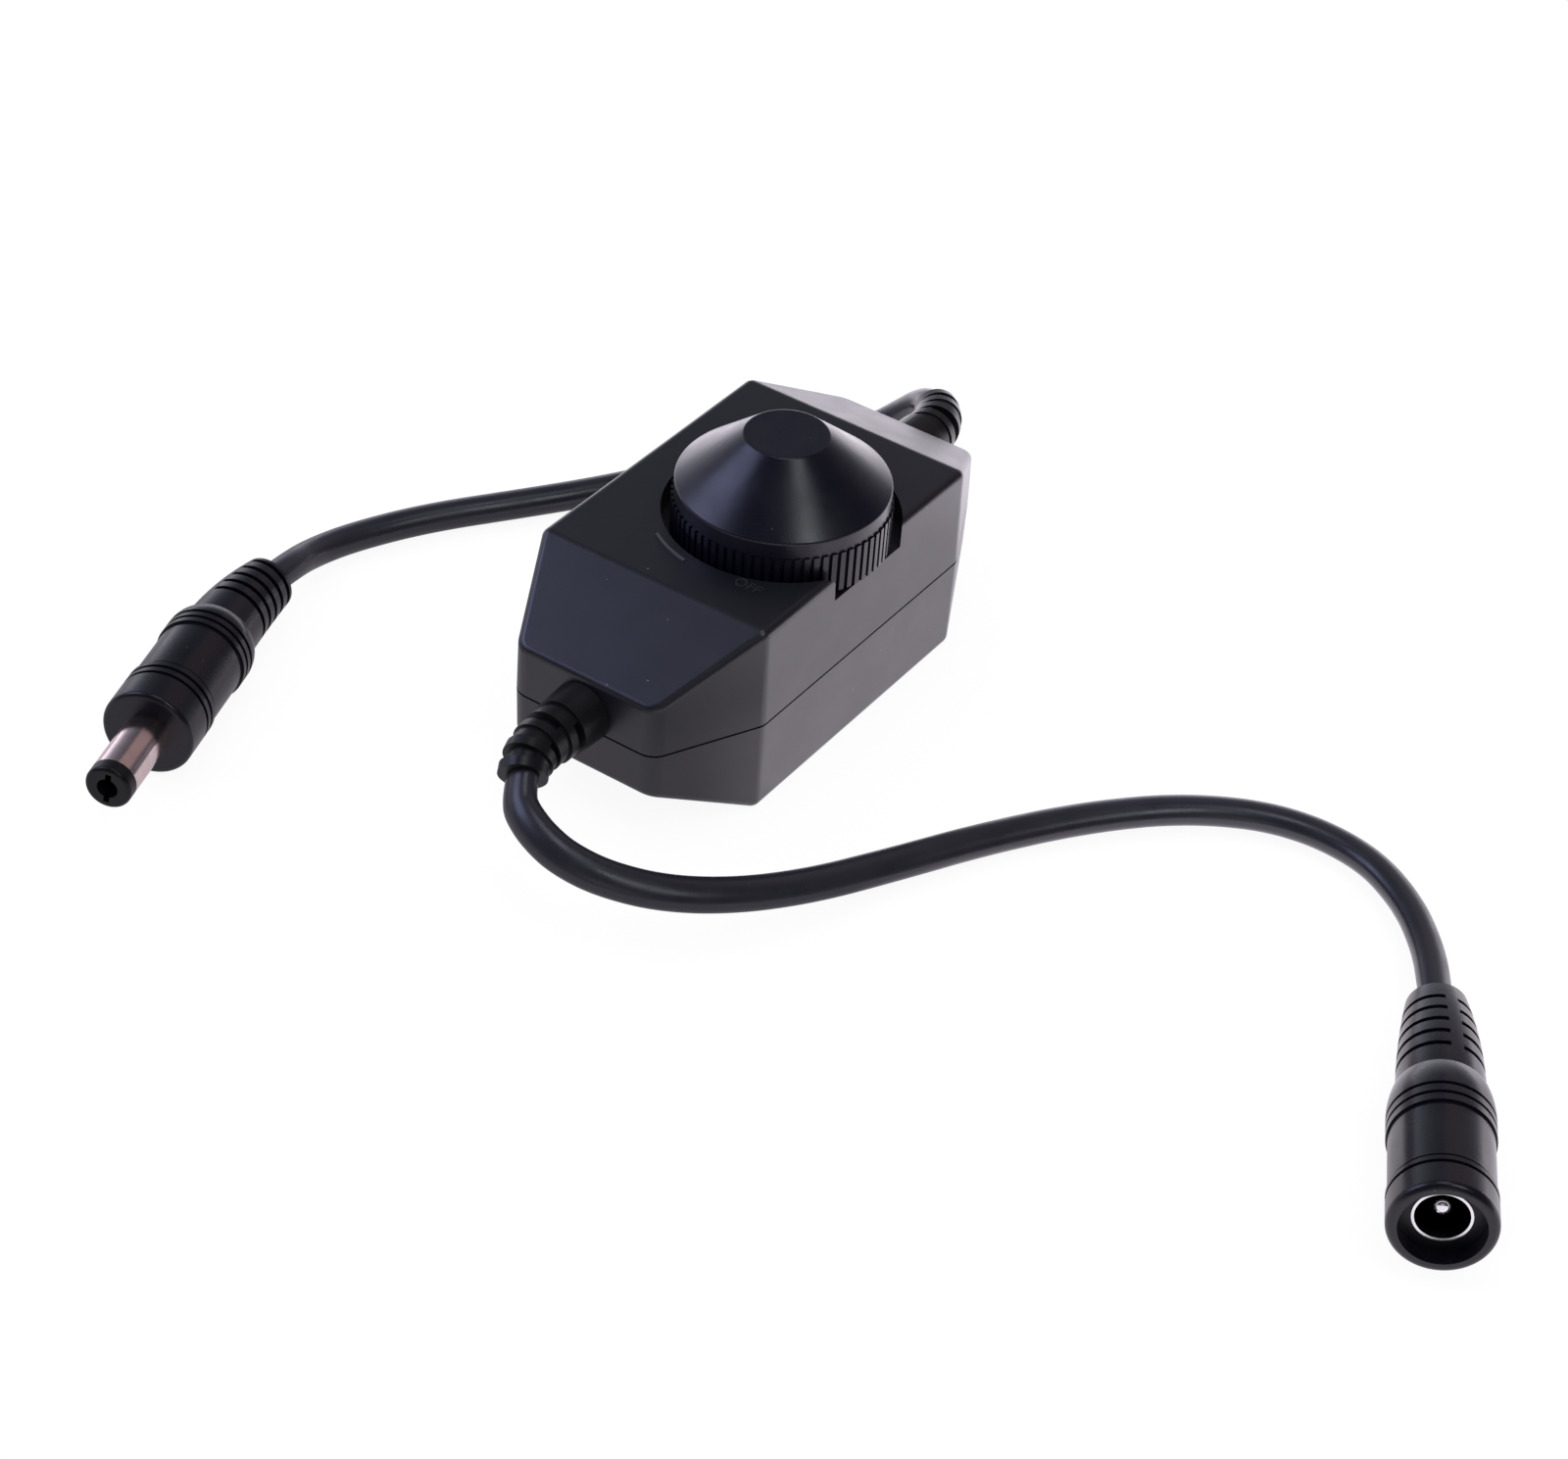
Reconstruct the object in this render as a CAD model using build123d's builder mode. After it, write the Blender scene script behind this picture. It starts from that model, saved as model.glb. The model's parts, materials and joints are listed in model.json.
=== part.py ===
from build123d import *
import os
from math import cos, pi, radians, sin, tan

# In-line rotary dimmer for low-voltage lamps. A ramped two-part case holds a circuit board and a
# potentiometer with a conical thumb knob. A short cord leaves each end through a slotted gland, one to a
# power jack and one to a power plug.
# Origin: middle of the underside. +X runs from the input end to the output end, +Z is up. Millimetres.

# Case
case_length = 65.7
case_width = 32.0
case_height = 25.4
parting_height = 12.2
flat_length = 40.2
end_width = 19.4
ramp_drop = 6.6
wall = 2.0
draft_angle = 1.0
end_corner_radius = 2.6
shoulder_radius = 2.0
edge_radius = 1.0
crease_radius = 1.5
shadow_gap_height = 0.25
shadow_gap_depth = 0.45
lip_thickness = 0.9
lip_height = 1.5
lip_clearance = 0.1

# Knob, its well and the shaft that carries it
knob_offset = -3.5
knob_top_height = 36.1
knob_top_radius = 4.95
knob_top_rounding = 0.4
knob_edge_height = 29.7
knob_edge_radius = 12.65
knob_edge_rounding = 0.35
knob_band_height = 2.0
knob_wall = 1.65
knob_hub_radius = 4.4
knurl_radius = 12.9
knurl_depth = 0.45
knurl_count = 72
knurl_groove_share = 0.42
well_radius = 14.05
well_depth = 3.3
well_floor_thickness = 1.6
knob_running_gap = 0.35
shaft_radius = 3.0
shaft_flat = 1.5
shaft_grip_length = 9.0
shaft_hole_clearance = 0.6
fit_clearance = 0.02
running_clearance = 0.05

# Case screws
screw_x = 16.5
screw_y = 11.8
screw_radius = 1.1
screw_head_radius = 2.0
screw_head_height = 1.5
screw_recess_radius = 2.3
screw_seat_height = 3.5
screw_grip = 6.4
screw_clearance = 0.15
screw_post_radius = 3.0
screw_boss_radius = 2.5
cross_slot_width = 0.5
cross_slot_length = 2.4
cross_slot_depth = 0.8

# Circuit board and what stands on it
board_length = 46.0
board_width = 17.0
board_thickness = 1.6
board_height = 7.4
post_x = 18.5
post_y = 6.3
post_radius = 1.8
peg_radius = 0.9
peg_stand = 0.6
pin_radius = 0.45
pin_stand = 0.8
pin_pitch = 2.5
solder_hole_clearance = 0.05

# Potentiometer
pot_width = 9.8
pot_depth = 9.6
pot_base_height = 2.0
pot_cover_height = 5.0
pot_cover_wall = 0.8
pot_bushing_radius = 4.2
pot_bushing_height = 2.2
rotor_radius = 3.8
rotor_thickness = 1.4
rotor_lift = 1.2
pivot_radius = 1.0
pivot_depth = 1.0
wiper_thickness = 0.3
wiper_radius = 3.2
wiper_finger_radius = 2.4
wiper_finger_width = 0.8
wiper_gap = 0.3

# Glands, the slotted strain reliefs in the end walls
gland_height = 14.4
gland_length = 12.6
gland_core_radius = 2.35
gland_neck_radius = 2.9
gland_flange_radius = 3.15
gland_flange_thickness = 1.4
gland_flange_play = 0.12
gland_collar_radius = 3.75
gland_collar_tip_radius = 3.55
gland_collar_length = 4.0
gland_ring_radius = 3.35
gland_tip_radius = 2.85
gland_ring_width = 1.15
gland_ring_count = 4
gland_link_overlap = 0.3
gland_link_inset = 0.15
gland_link_edge = 0.4
input_gland_straight = 7.5
input_gland_bend = 36.0
input_gland_lean = (0, -0.75, -0.66)
output_gland_straight = 4.5
output_gland_bend = 46.0
output_gland_lean = (0, 0.96, -0.28)

# Cords
cord_radius = 2.1
cord_exit_run = 3.0

# Power jack on the input cord: its rear end on the floor plan, how it lies, and its form
jack_x = -4.5
jack_y = -94.9
jack_heading = 206.1
jack_tilt = 5.8
jack_roll = -13.0
jack_bend = -2.5
jack_length = 37.0
jack_radius = 5.7
jack_waist_radius = 5.5
jack_relief_length = 15.8
jack_relief_tip_radius = 3.4
jack_relief_middle_radius = 4.4
jack_relief_radius = 4.75
jack_slot_start = 2.9
jack_slot_pitch = 2.3
jack_shoulder_radius = 5.05
jack_flare_length = 4.2
jack_rim_rounding = 0.8
jack_rear_grooves = (20.5, 22.0, 23.5)
jack_front_grooves = (32.0, 33.1)
jack_mouth_radius = 4.5
jack_mouth_depth = 2.2
jack_insert_length = 13.0
sleeve_radius = 3.1
sleeve_bore_radius = 2.82
sleeve_stand = 0.2
sleeve_length = 10.0
centre_pin_radius = 1.0
centre_pin_tip_depth = 3.1
centre_pin_seat = 2.0

# Power plug on the output cord
plug_x = -27.7
plug_y = 52.9
plug_heading = 199.5
plug_tilt = 2.5
plug_roll = 38.0
plug_bend = 12.6
plug_length = 33.5
plug_radius = 5.5
plug_waist_radius = 5.25
plug_relief_length = 13.3
plug_relief_tip_radius = 3.4
plug_relief_middle_radius = 4.1
plug_relief_radius = 4.45
plug_slot_start = 0.9
plug_slot_pitch = 1.9
plug_shoulder_radius = 4.8
plug_flare_length = 2.3
plug_rim_rounding = 0.6
plug_rear_grooves = (15.9, 17.1, 18.3)
plug_front_grooves = (26.5, 27.7, 28.9)
barrel_radius = 2.75
barrel_bore_radius = 2.15
barrel_length = 9.0
barrel_seat = 5.5
barrel_seat_radius = 2.5
tip_length = 1.8
tip_rounding = 0.5
contact_bore_radius = 1.25
contact_radius = 1.7
tip_slot_width = 0.7
tip_slot_length = 3.9

# Features that both connectors share
relief_slot_count = 5
relief_slot_width = 0.7
relief_rounding = 0.35
relief_core_radius = 2.6
relief_web_width = 1.4
shoulder_rounding = 0.25
groove_width = 0.5
groove_depth = 0.3
connector_rest_play = 0.1

# Leads from the glands to the board
lead_radius = 0.75
lead_pitch = 2.2
pad_x = 21.0
pad_y = 2.2
lead_rise = 4.0
lead_inset = 4.2

# Places that follow from the sizes above
half_length = case_length / 2
half_flat = flat_length / 2
board_top = board_height + board_thickness
pot_cover_top = board_top + pot_base_height + pot_cover_height
rotor_bottom = board_top + pot_base_height + rotor_lift
well_floor = case_height - well_depth
knob_bottom = well_floor + knob_running_gap
knob_band_bottom = knob_edge_height - knob_band_height
shaft_top = knob_bottom + shaft_grip_length
parting_up = Plane.XY.offset(parting_height)
parting_down = Plane(origin=(0, 0, parting_height), x_dir=(1, 0, 0), z_dir=(0, 0, -1))
screw_places = [(x, y) for x in (-screw_x, screw_x) for y in (-screw_y, screw_y)]
post_places = [(x, y) for x in (-post_x, post_x) for y in (-post_y, post_y)]
pot_pin_places = [(x, knob_offset - pot_depth / 2 + pin_stand) for x in (-pin_pitch, 0, pin_pitch)]

os.makedirs("parts", exist_ok=True)


def finish(piece, name):
    """Labels a piece and writes its STEP file."""
    piece.label = name
    export_step(piece, f"parts/{name}.step")


def case_plan(inset):
    """Draws the eight-sided plan of the case, moved inwards by inset."""
    corners = [
        (half_length, end_width / 2),
        (half_flat, case_width / 2),
        (-half_flat, case_width / 2),
        (-half_length, end_width / 2),
        (-half_length, -end_width / 2),
        (-half_flat, -case_width / 2),
        (half_flat, -case_width / 2),
        (half_length, -end_width / 2),
    ]
    Polygon(*corners, align=None)
    if inset:
        offset(amount=-inset, kind=Kind.INTERSECTION)
    ends = vertices().group_by(Axis.X)[0] + vertices().group_by(Axis.X)[-1]
    fillet(ends, end_corner_radius - 0.8 * inset)
    shoulders = vertices().group_by(Axis.Y)[0] + vertices().group_by(Axis.Y)[-1]
    fillet(shoulders, shoulder_radius - 0.5 * inset)


def case_block(parting, height, inset):
    """A case half as a solid block on its parting plane, drafted, with both ends ramped."""
    ends = Plane(origin=parting.origin, x_dir=parting.x_dir, z_dir=parting.x_dir.cross(parting.z_dir))
    slope = ramp_drop / (half_length - half_flat)
    reach = half_length + wall
    with BuildPart() as block:
        with BuildSketch(parting):
            case_plan(inset)
        extrude(amount=height + wall, taper=draft_angle)
        with BuildSketch(ends) as profile:
            Polygon(
                (-reach, -wall - inset),
                (-reach, height - slope * (reach - half_flat)),
                (-half_flat, height),
                (half_flat, height),
                (reach, height - slope * (reach - half_flat)),
                (reach, -wall - inset),
                align=None,
            )
            if inset:
                offset(amount=-inset, kind=Kind.INTERSECTION)
            fillet(profile.vertices().group_by(Axis.Y)[-1], crease_radius)
        extrude(amount=case_width, both=True, mode=Mode.INTERSECT)
        if not inset:
            upper = [e for e in block.edges() if abs(e.center().Z - parting_height) > wall]
            level = [e for e in upper if abs(e.tangent_at(0.5).Z) < 0.9]
            middle = [e for e in level if abs(e.center().Y) < wall]
            creases = [e for e in middle if abs(e.center().X) < half_length - wall]
            fillet([e for e in level if e not in creases], edge_radius)
    return block.part


def plan_ring(parting, outer_inset, inner_inset, height):
    """A band that follows the case wall, standing on the parting plane."""
    with BuildPart() as band:
        with BuildSketch(parting):
            case_plan(outer_inset)
        extrude(amount=height)
        with BuildSketch(parting):
            case_plan(inner_inset)
        extrude(amount=height, mode=Mode.SUBTRACT)
    return band.part


def gland_hole():
    """The neck hole through both end walls, for either half."""
    with BuildPart() as hole:
        with BuildSketch(Plane.YZ):
            with Locations((0, gland_height)):
                Circle(gland_neck_radius)
        extrude(amount=half_length + wall, both=True)
        Box(case_length - 4 * wall, case_width, 2 * case_height, mode=Mode.SUBTRACT)
    return hole.part


# Top shell: the cavity leaves the knob well and the screw bosses standing
upper_height = case_height - parting_height
upper_block = case_block(parting_up, upper_height, 0)
upper_cavity = case_block(parting_up, upper_height, wall)
rebate = plan_ring(parting_up, wall - lip_thickness - lip_clearance, wall, lip_height + lip_clearance)
shadow_gap = plan_ring(parting_up, -wall, shadow_gap_depth, shadow_gap_height)
end_holes = gland_hole()

with BuildPart() as top_hollow:
    add(upper_cavity)
    with BuildSketch(Plane.XY.offset(well_floor - well_floor_thickness)):
        with Locations((0, knob_offset)):
            Circle(well_radius + wall)
    extrude(amount=case_height, mode=Mode.SUBTRACT)
    with BuildSketch(parting_up):
        with Locations(*screw_places):
            Circle(screw_boss_radius)
    extrude(amount=case_height, mode=Mode.SUBTRACT)

with BuildPart() as top_shell:
    add(upper_block)
    add(top_hollow.part, mode=Mode.SUBTRACT)
    with BuildSketch(Plane.XY.offset(well_floor)):
        with Locations((0, knob_offset)):
            Circle(well_radius)
    extrude(amount=case_height, mode=Mode.SUBTRACT)
    with BuildSketch(Plane.XY.offset(well_floor - well_floor_thickness)):
        with Locations((0, knob_offset)):
            Circle(shaft_radius + shaft_hole_clearance)
    extrude(amount=case_height, mode=Mode.SUBTRACT)
    with BuildSketch(parting_up):
        with Locations(*screw_places):
            Circle(screw_radius)
    extrude(amount=screw_grip, mode=Mode.SUBTRACT)
    add(rebate, mode=Mode.SUBTRACT)
    add(shadow_gap, mode=Mode.SUBTRACT)
    add(end_holes, mode=Mode.SUBTRACT)
finish(top_shell.part, "top_shell")

# Bottom shell: screw posts, board posts with pegs, and the lip that locates the top shell
lower_block = case_block(parting_down, parting_height, 0)
lower_cavity = case_block(parting_down, parting_height, wall)
lip = plan_ring(parting_up, wall - lip_thickness, wall, lip_height)

with BuildPart() as bottom_hollow:
    add(lower_cavity)
    with BuildSketch(parting_down):
        with Locations(*[(x, -y) for x, y in screw_places]):
            Circle(screw_post_radius)
    extrude(amount=parting_height, mode=Mode.SUBTRACT)
    with BuildSketch(Plane.XY.offset(board_height)):
        with Locations(*post_places):
            Circle(post_radius)
    extrude(amount=-board_height, mode=Mode.SUBTRACT)
    with BuildSketch(Plane.XY.offset(board_top + peg_stand)):
        with Locations(*post_places):
            Circle(peg_radius)
    extrude(amount=-board_top, mode=Mode.SUBTRACT)

with BuildPart() as bottom_shell:
    add(lower_block)
    add(bottom_hollow.part, mode=Mode.SUBTRACT)
    with BuildSketch(Plane.XY):
        with Locations(*screw_places):
            Circle(screw_recess_radius)
    extrude(amount=screw_seat_height, mode=Mode.SUBTRACT)
    with BuildSketch(Plane.XY):
        with Locations(*screw_places):
            Circle(screw_radius + screw_clearance)
    extrude(amount=parting_height, mode=Mode.SUBTRACT)
    add(lip)
    add(end_holes, mode=Mode.SUBTRACT)
finish(bottom_shell.part, "bottom_shell")

# Case screws: pan heads under the case, shanks into the bosses of the top shell
with BuildPart() as case_screws:
    with BuildSketch(Plane.XY.offset(screw_seat_height)):
        with Locations(*screw_places):
            Circle(screw_head_radius)
    extrude(amount=-screw_head_height)
    heads = case_screws.edges().group_by(Axis.Z)[0]
    fillet(heads, screw_head_height / 3)
    with BuildSketch(Plane.XY.offset(screw_seat_height)):
        with Locations(*screw_places):
            Circle(screw_radius)
    extrude(amount=parting_height + screw_grip - screw_seat_height - screw_clearance)
    with BuildSketch(Plane.XY.offset(screw_seat_height - screw_head_height)):
        with Locations(*screw_places):
            Rectangle(cross_slot_length, cross_slot_width)
            Rectangle(cross_slot_width, cross_slot_length)
    extrude(amount=cross_slot_depth, mode=Mode.SUBTRACT)
finish(case_screws.part, "case_screws")

# Knob: a hollow cone on a knurled skirt, with a flatted bore in its hub
cone_slope = (knob_top_height - knob_edge_height) / (knob_edge_radius - knob_top_radius)
skirt_bore_radius = knurl_radius - knurl_depth - knob_wall
cone_drop = knob_wall * (1 + cone_slope**2) ** 0.5


def under_cone(radius):
    """Height of the cone's inner face at a radius."""
    return knob_edge_height - cone_drop + (knob_edge_radius - radius) * cone_slope


with BuildPart() as knob:
    with BuildSketch(Plane.XZ.offset(-knob_offset)) as section:
        with BuildLine():
            Polyline(
                (0, knob_top_height),
                (knob_top_radius, knob_top_height),
                (knob_edge_radius, knob_edge_height),
                (knob_edge_radius, knob_band_bottom),
                (skirt_bore_radius, knob_band_bottom),
                (skirt_bore_radius, under_cone(skirt_bore_radius)),
                (knob_hub_radius, under_cone(knob_hub_radius)),
                (knob_hub_radius, knob_bottom),
                (0, knob_bottom),
                close=True,
            )
        make_face()
        fillet(section.vertices().group_by(Axis.Y)[-1].sort_by(Axis.X)[-1], knob_top_rounding)
        fillet(section.vertices().group_by(Axis.X)[-1].sort_by(Axis.Y)[-1], knob_edge_rounding)
    revolve(axis=Axis((0, knob_offset, 0), (0, 0, 1)))
    with BuildSketch(Plane.XY.offset(knob_bottom)):
        with Locations((0, knob_offset)):
            Circle(knurl_radius)
            Circle(skirt_bore_radius, mode=Mode.SUBTRACT)
            groove = 2 * pi * knurl_radius / knurl_count * knurl_groove_share
            with PolarLocations(knurl_radius, knurl_count):
                Rectangle(2 * knurl_depth, groove, mode=Mode.SUBTRACT)
    extrude(amount=knob_band_bottom - knob_bottom)
    with BuildSketch(Plane.XY.offset(knob_bottom)):
        with Locations((0, knob_offset)):
            Circle(shaft_radius + fit_clearance)
        with Locations((0, knob_offset - shaft_flat - fit_clearance - shaft_radius)):
            Rectangle(4 * shaft_radius, 2 * shaft_radius, mode=Mode.SUBTRACT)
    extrude(amount=shaft_grip_length, mode=Mode.SUBTRACT)
finish(knob.part, "knob")

# Potentiometer: base with its pivot hole, pressed cover with bushing, rotor shaft and wiper
with BuildPart() as pot_base:
    with BuildSketch(Plane.XY.offset(board_top)):
        with Locations((0, knob_offset)):
            RectangleRounded(pot_width, pot_depth, pot_cover_wall)
    extrude(amount=pot_base_height)
    with BuildSketch(Plane.XY.offset(board_top + pot_base_height)):
        with Locations((0, knob_offset)):
            Circle(pivot_radius + running_clearance)
    extrude(amount=-pivot_depth - wiper_gap, mode=Mode.SUBTRACT)
finish(pot_base.part, "pot_base")

with BuildPart() as pot_cover:
    with BuildSketch(Plane.XY.offset(board_top + pot_base_height)):
        with Locations((0, knob_offset)):
            RectangleRounded(pot_width, pot_depth, pot_cover_wall)
    extrude(amount=pot_cover_height)
    with BuildSketch(Plane.XY.offset(pot_cover_top)):
        with Locations((0, knob_offset)):
            Circle(pot_bushing_radius)
    extrude(amount=pot_bushing_height)
    with BuildSketch(Plane.XY.offset(board_top + pot_base_height)):
        with Locations((0, knob_offset)):
            Rectangle(pot_width - 2 * pot_cover_wall, pot_depth - 2 * pot_cover_wall)
    extrude(amount=pot_cover_height - pot_cover_wall, mode=Mode.SUBTRACT)
    with BuildSketch(Plane.XY.offset(board_top)):
        with Locations((0, knob_offset)):
            Circle(shaft_radius + running_clearance)
    extrude(amount=case_height, mode=Mode.SUBTRACT)
finish(pot_cover.part, "pot_cover")

with BuildPart() as pot_shaft:
    with BuildSketch(Plane.XY.offset(rotor_bottom)):
        with Locations((0, knob_offset)):
            Circle(rotor_radius)
    extrude(amount=rotor_thickness)
    with BuildSketch(Plane.XY.offset(rotor_bottom)):
        with Locations((0, knob_offset)):
            Circle(shaft_radius)
    extrude(amount=shaft_top - fit_clearance - rotor_bottom)
    with BuildSketch(Plane.XY.offset(rotor_bottom)):
        with Locations((0, knob_offset)):
            Circle(pivot_radius)
    extrude(amount=-rotor_lift - pivot_depth)
    with BuildSketch(Plane.XY.offset(knob_bottom)):
        with Locations((0, knob_offset - shaft_flat - shaft_radius)):
            Rectangle(4 * shaft_radius, 2 * shaft_radius)
    extrude(amount=shaft_grip_length, mode=Mode.SUBTRACT)
finish(pot_shaft.part, "pot_shaft")

with BuildPart() as pot_wiper:
    with BuildSketch(Plane.XY.offset(rotor_bottom)):
        with Locations((0, knob_offset)):
            Circle(wiper_radius)
            Circle(pivot_radius + fit_clearance, mode=Mode.SUBTRACT)
    extrude(amount=-wiper_thickness)
    with BuildSketch(Plane.XY.offset(rotor_bottom - wiper_thickness)):
        with Locations((0, knob_offset)):
            with PolarLocations(wiper_finger_radius, 2):
                Rectangle(wiper_finger_width, wiper_finger_width)
    extrude(amount=-rotor_lift + wiper_thickness + wiper_gap)
finish(pot_wiper.part, "pot_wiper")

with BuildPart() as pot_pins:
    with BuildSketch(Plane.XY.offset(board_top)):
        with Locations(*pot_pin_places):
            Circle(pin_radius)
    extrude(amount=-board_thickness - pin_stand)
finish(pot_pins.part, "pot_pins")

# Circuit board on its posts
with BuildPart() as circuit_board:
    with BuildSketch(Plane.XY.offset(board_height)):
        RectangleRounded(board_length, board_width, post_radius)
        with Locations(*post_places):
            Circle(peg_radius + solder_hole_clearance, mode=Mode.SUBTRACT)
        with Locations(*pot_pin_places):
            Circle(pin_radius + solder_hole_clearance, mode=Mode.SUBTRACT)
    extrude(amount=board_thickness)
finish(circuit_board.part, "circuit_board")

# Switching transistor: moulded body, heat tab and two legs
mosfet_place = (12.3, 0.0)
mosfet_body = (6.1, 6.6, 2.2)
mosfet_tab = (1.4, 5.2, 0.6)
mosfet_leg = (2.6, 0.9, 0.6)
mosfet_leg_pitch = 4.6
with BuildPart() as mosfet:
    with BuildSketch(Plane.XY.offset(board_top)):
        with Locations(mosfet_place):
            Rectangle(mosfet_body[0], mosfet_body[1])
    extrude(amount=mosfet_body[2], taper=4)
    with BuildSketch(Plane.XY.offset(board_top)):
        with Locations(mosfet_place):
            Rectangle(mosfet_body[0] / 2 + mosfet_tab[0], mosfet_tab[1], align=(Align.MIN, Align.CENTER))
            with GridLocations(0, mosfet_leg_pitch, 1, 2):
                Rectangle(mosfet_body[0] / 2 + mosfet_leg[0], mosfet_leg[1], align=(Align.MAX, Align.CENTER))
    extrude(amount=mosfet_tab[2])
finish(mosfet.part, "mosfet")

# Timer chip with four legs a side
timer_place = (-11.5, -4.0)
timer_body = (3.9, 4.9, 1.5)
timer_legs_span = 6.0
timer_leg_pitch = 1.27
timer_leg_width = 0.45
timer_leg_height = 0.5
with BuildPart() as timer_chip:
    with BuildSketch(Plane.XY.offset(board_top)):
        with Locations(timer_place):
            Rectangle(timer_body[0], timer_body[1])
    extrude(amount=timer_body[2])
    with BuildSketch(Plane.XY.offset(board_top)):
        with Locations(timer_place):
            with GridLocations(0, timer_leg_pitch, 1, 4):
                Rectangle(timer_legs_span, timer_leg_width)
    extrude(amount=timer_leg_height)
finish(timer_chip.part, "timer_chip")

# Smoothing capacitor, a can standing on the board
capacitor_place = (-12.4, 4.4)
capacitor_radius = 3.15
capacitor_height = 7.0
capacitor_rounding = 0.5
with BuildPart() as capacitor:
    with BuildSketch(Plane.XY.offset(board_top)):
        with Locations(capacitor_place):
            Circle(capacitor_radius)
    extrude(amount=capacitor_height)
    fillet(capacitor.edges().group_by(Axis.Z)[-1], capacitor_rounding)
finish(capacitor.part, "capacitor")

# Clamp diode lying on the board, its legs bent down to their pads
diode_place = (2.4, 5.4)
diode_radius = 1.35
diode_length = 5.2
diode_leg_radius = 0.4
diode_leg_reach = 2.4
with BuildPart() as diode:
    diode_axis = Plane(
        origin=(diode_place[0], diode_place[1], board_top + diode_radius), x_dir=(0, 1, 0), z_dir=(1, 0, 0)
    )
    with BuildSketch(diode_axis):
        Circle(diode_radius)
    extrude(amount=diode_length / 2, both=True)
    with BuildSketch(diode_axis):
        Circle(diode_leg_radius)
    extrude(amount=diode_length / 2 + diode_leg_reach, both=True)
    with BuildSketch(Plane.XY.offset(board_top)):
        with Locations(diode_place):
            with GridLocations(diode_length + 2 * (diode_leg_reach - diode_leg_radius), 0, 2, 1):
                Circle(diode_leg_radius)
    extrude(amount=diode_radius)
finish(diode.part, "diode")

# Chip resistors
resistor_size = (3.2, 1.6, 0.6)
resistor_places = [(8.0, -6.4), (12.6, -6.4), (12.6, 5.8)]
with BuildPart() as resistors:
    with BuildSketch(Plane.XY.offset(board_top)):
        with Locations(*resistor_places):
            Rectangle(resistor_size[0], resistor_size[1])
    extrude(amount=resistor_size[2])
finish(resistors.part, "resistors")


class GlandPath:
    """Middle line of a gland: straight out of the end wall, then leaning over with its cord."""

    def __init__(self, outward, lean, straight, bend):
        self.outward = Vector(outward)
        self.lean = Vector(lean).normalized()
        self.straight = straight
        self.radius = (gland_length - straight) / radians(bend)

    def across(self, s):
        """Plane across the gland, s from the end wall."""
        turn = max(0, s - self.straight) / self.radius
        forward = min(s, self.straight) + self.radius * sin(turn)
        aside = self.radius * (1 - cos(turn))
        base = self.outward * half_length + Vector(0, 0, gland_height)
        origin = base + self.outward * forward + self.lean * aside
        normal = self.outward * cos(turn) + self.lean * sin(turn)
        return Plane(origin=origin, x_dir=self.outward.cross(self.lean), z_dir=normal)


def gland(path):
    """Rubber strain relief: flange and neck in the end wall, collar, and rings joined by half links in turn."""
    gap = (gland_length - gland_collar_length) / gland_ring_count - gland_ring_width
    ring_step = gland_ring_width + gap
    with BuildPart() as body:
        with BuildSketch(path.across(0)):
            Circle(gland_neck_radius - fit_clearance)
        extrude(amount=-wall - gland_flange_play)
        with BuildSketch(path.across(-wall - gland_flange_play)):
            Circle(gland_flange_radius)
        extrude(amount=-gland_flange_thickness)
        with BuildSketch(path.across(0)):
            Circle(gland_collar_radius)
        with BuildSketch(path.across(gland_collar_length)):
            Circle(gland_collar_tip_radius)
        loft()
        for i in range(gland_ring_count):
            outer = gland_collar_length + (i + 1) * ring_step
            share = i / (gland_ring_count - 1)
            radius = gland_ring_radius + share * (gland_tip_radius - gland_ring_radius)
            open_side = 1 if i % 2 else -1
            with BuildSketch(path.across(outer)):
                Circle(radius)
            extrude(amount=-gland_ring_width)
            with BuildSketch(path.across(outer - gland_ring_width - gap / 2)):
                Circle(radius - gland_link_inset)
                with Locations((0, open_side * (radius + gland_link_edge))):
                    Rectangle(2 * radius, 2 * radius, mode=Mode.SUBTRACT)
                Circle(gland_core_radius)
            extrude(amount=gap / 2 + gland_link_overlap, both=True)
    return body.part


input_path = GlandPath((-1, 0, 0), input_gland_lean, input_gland_straight, input_gland_bend)
output_path = GlandPath((1, 0, 0), output_gland_lean, output_gland_straight, output_gland_bend)
input_gland = gland(input_path)
finish(input_gland, "input_gland")
output_gland = gland(output_path)
finish(output_gland, "output_gland")


class Connector:
    """Middle line of a round connector that rests on the rear edge of its body, tilted a little, with its
    strain relief bent sideways towards the cord. Places along it are measured from its cord end."""

    def __init__(self, x, y, heading, tilt, roll, relief_length, bend, rest):
        rest_place, rest_radius = rest
        height = (rest_radius + connector_rest_play) * cos(radians(tilt)) - rest_place * sin(radians(tilt))
        level = Vector(cos(radians(heading)), sin(radians(heading)), 0)
        self.forward = level * cos(radians(tilt)) + Vector(0, 0, 1) * sin(radians(tilt))
        self.aside = Vector(0, 0, 1).cross(level)
        self.crown = self.forward.cross(self.aside)
        self.roll = radians(roll)
        self.relief_length = relief_length
        self.bend_radius = relief_length / radians(bend)
        self.start = Vector(x, y, height)
        self.axis = Axis(self.start, self.forward)
        self.section = Plane(origin=self.start, x_dir=self.forward, z_dir=self.aside)

    def across(self, s):
        """Plane across the connector at s from its cord end."""
        turn = max(0, self.relief_length - s) / self.bend_radius
        along = max(s, self.relief_length) - self.bend_radius * sin(turn)
        origin = self.start + self.forward * along + self.aside * (self.bend_radius * (1 - cos(turn)))
        normal = self.forward * cos(turn) - self.aside * sin(turn)
        side = self.aside * cos(turn) + self.forward * sin(turn)
        return Plane(origin=origin, x_dir=side * cos(self.roll) + self.crown * sin(self.roll), z_dir=normal)


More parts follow.
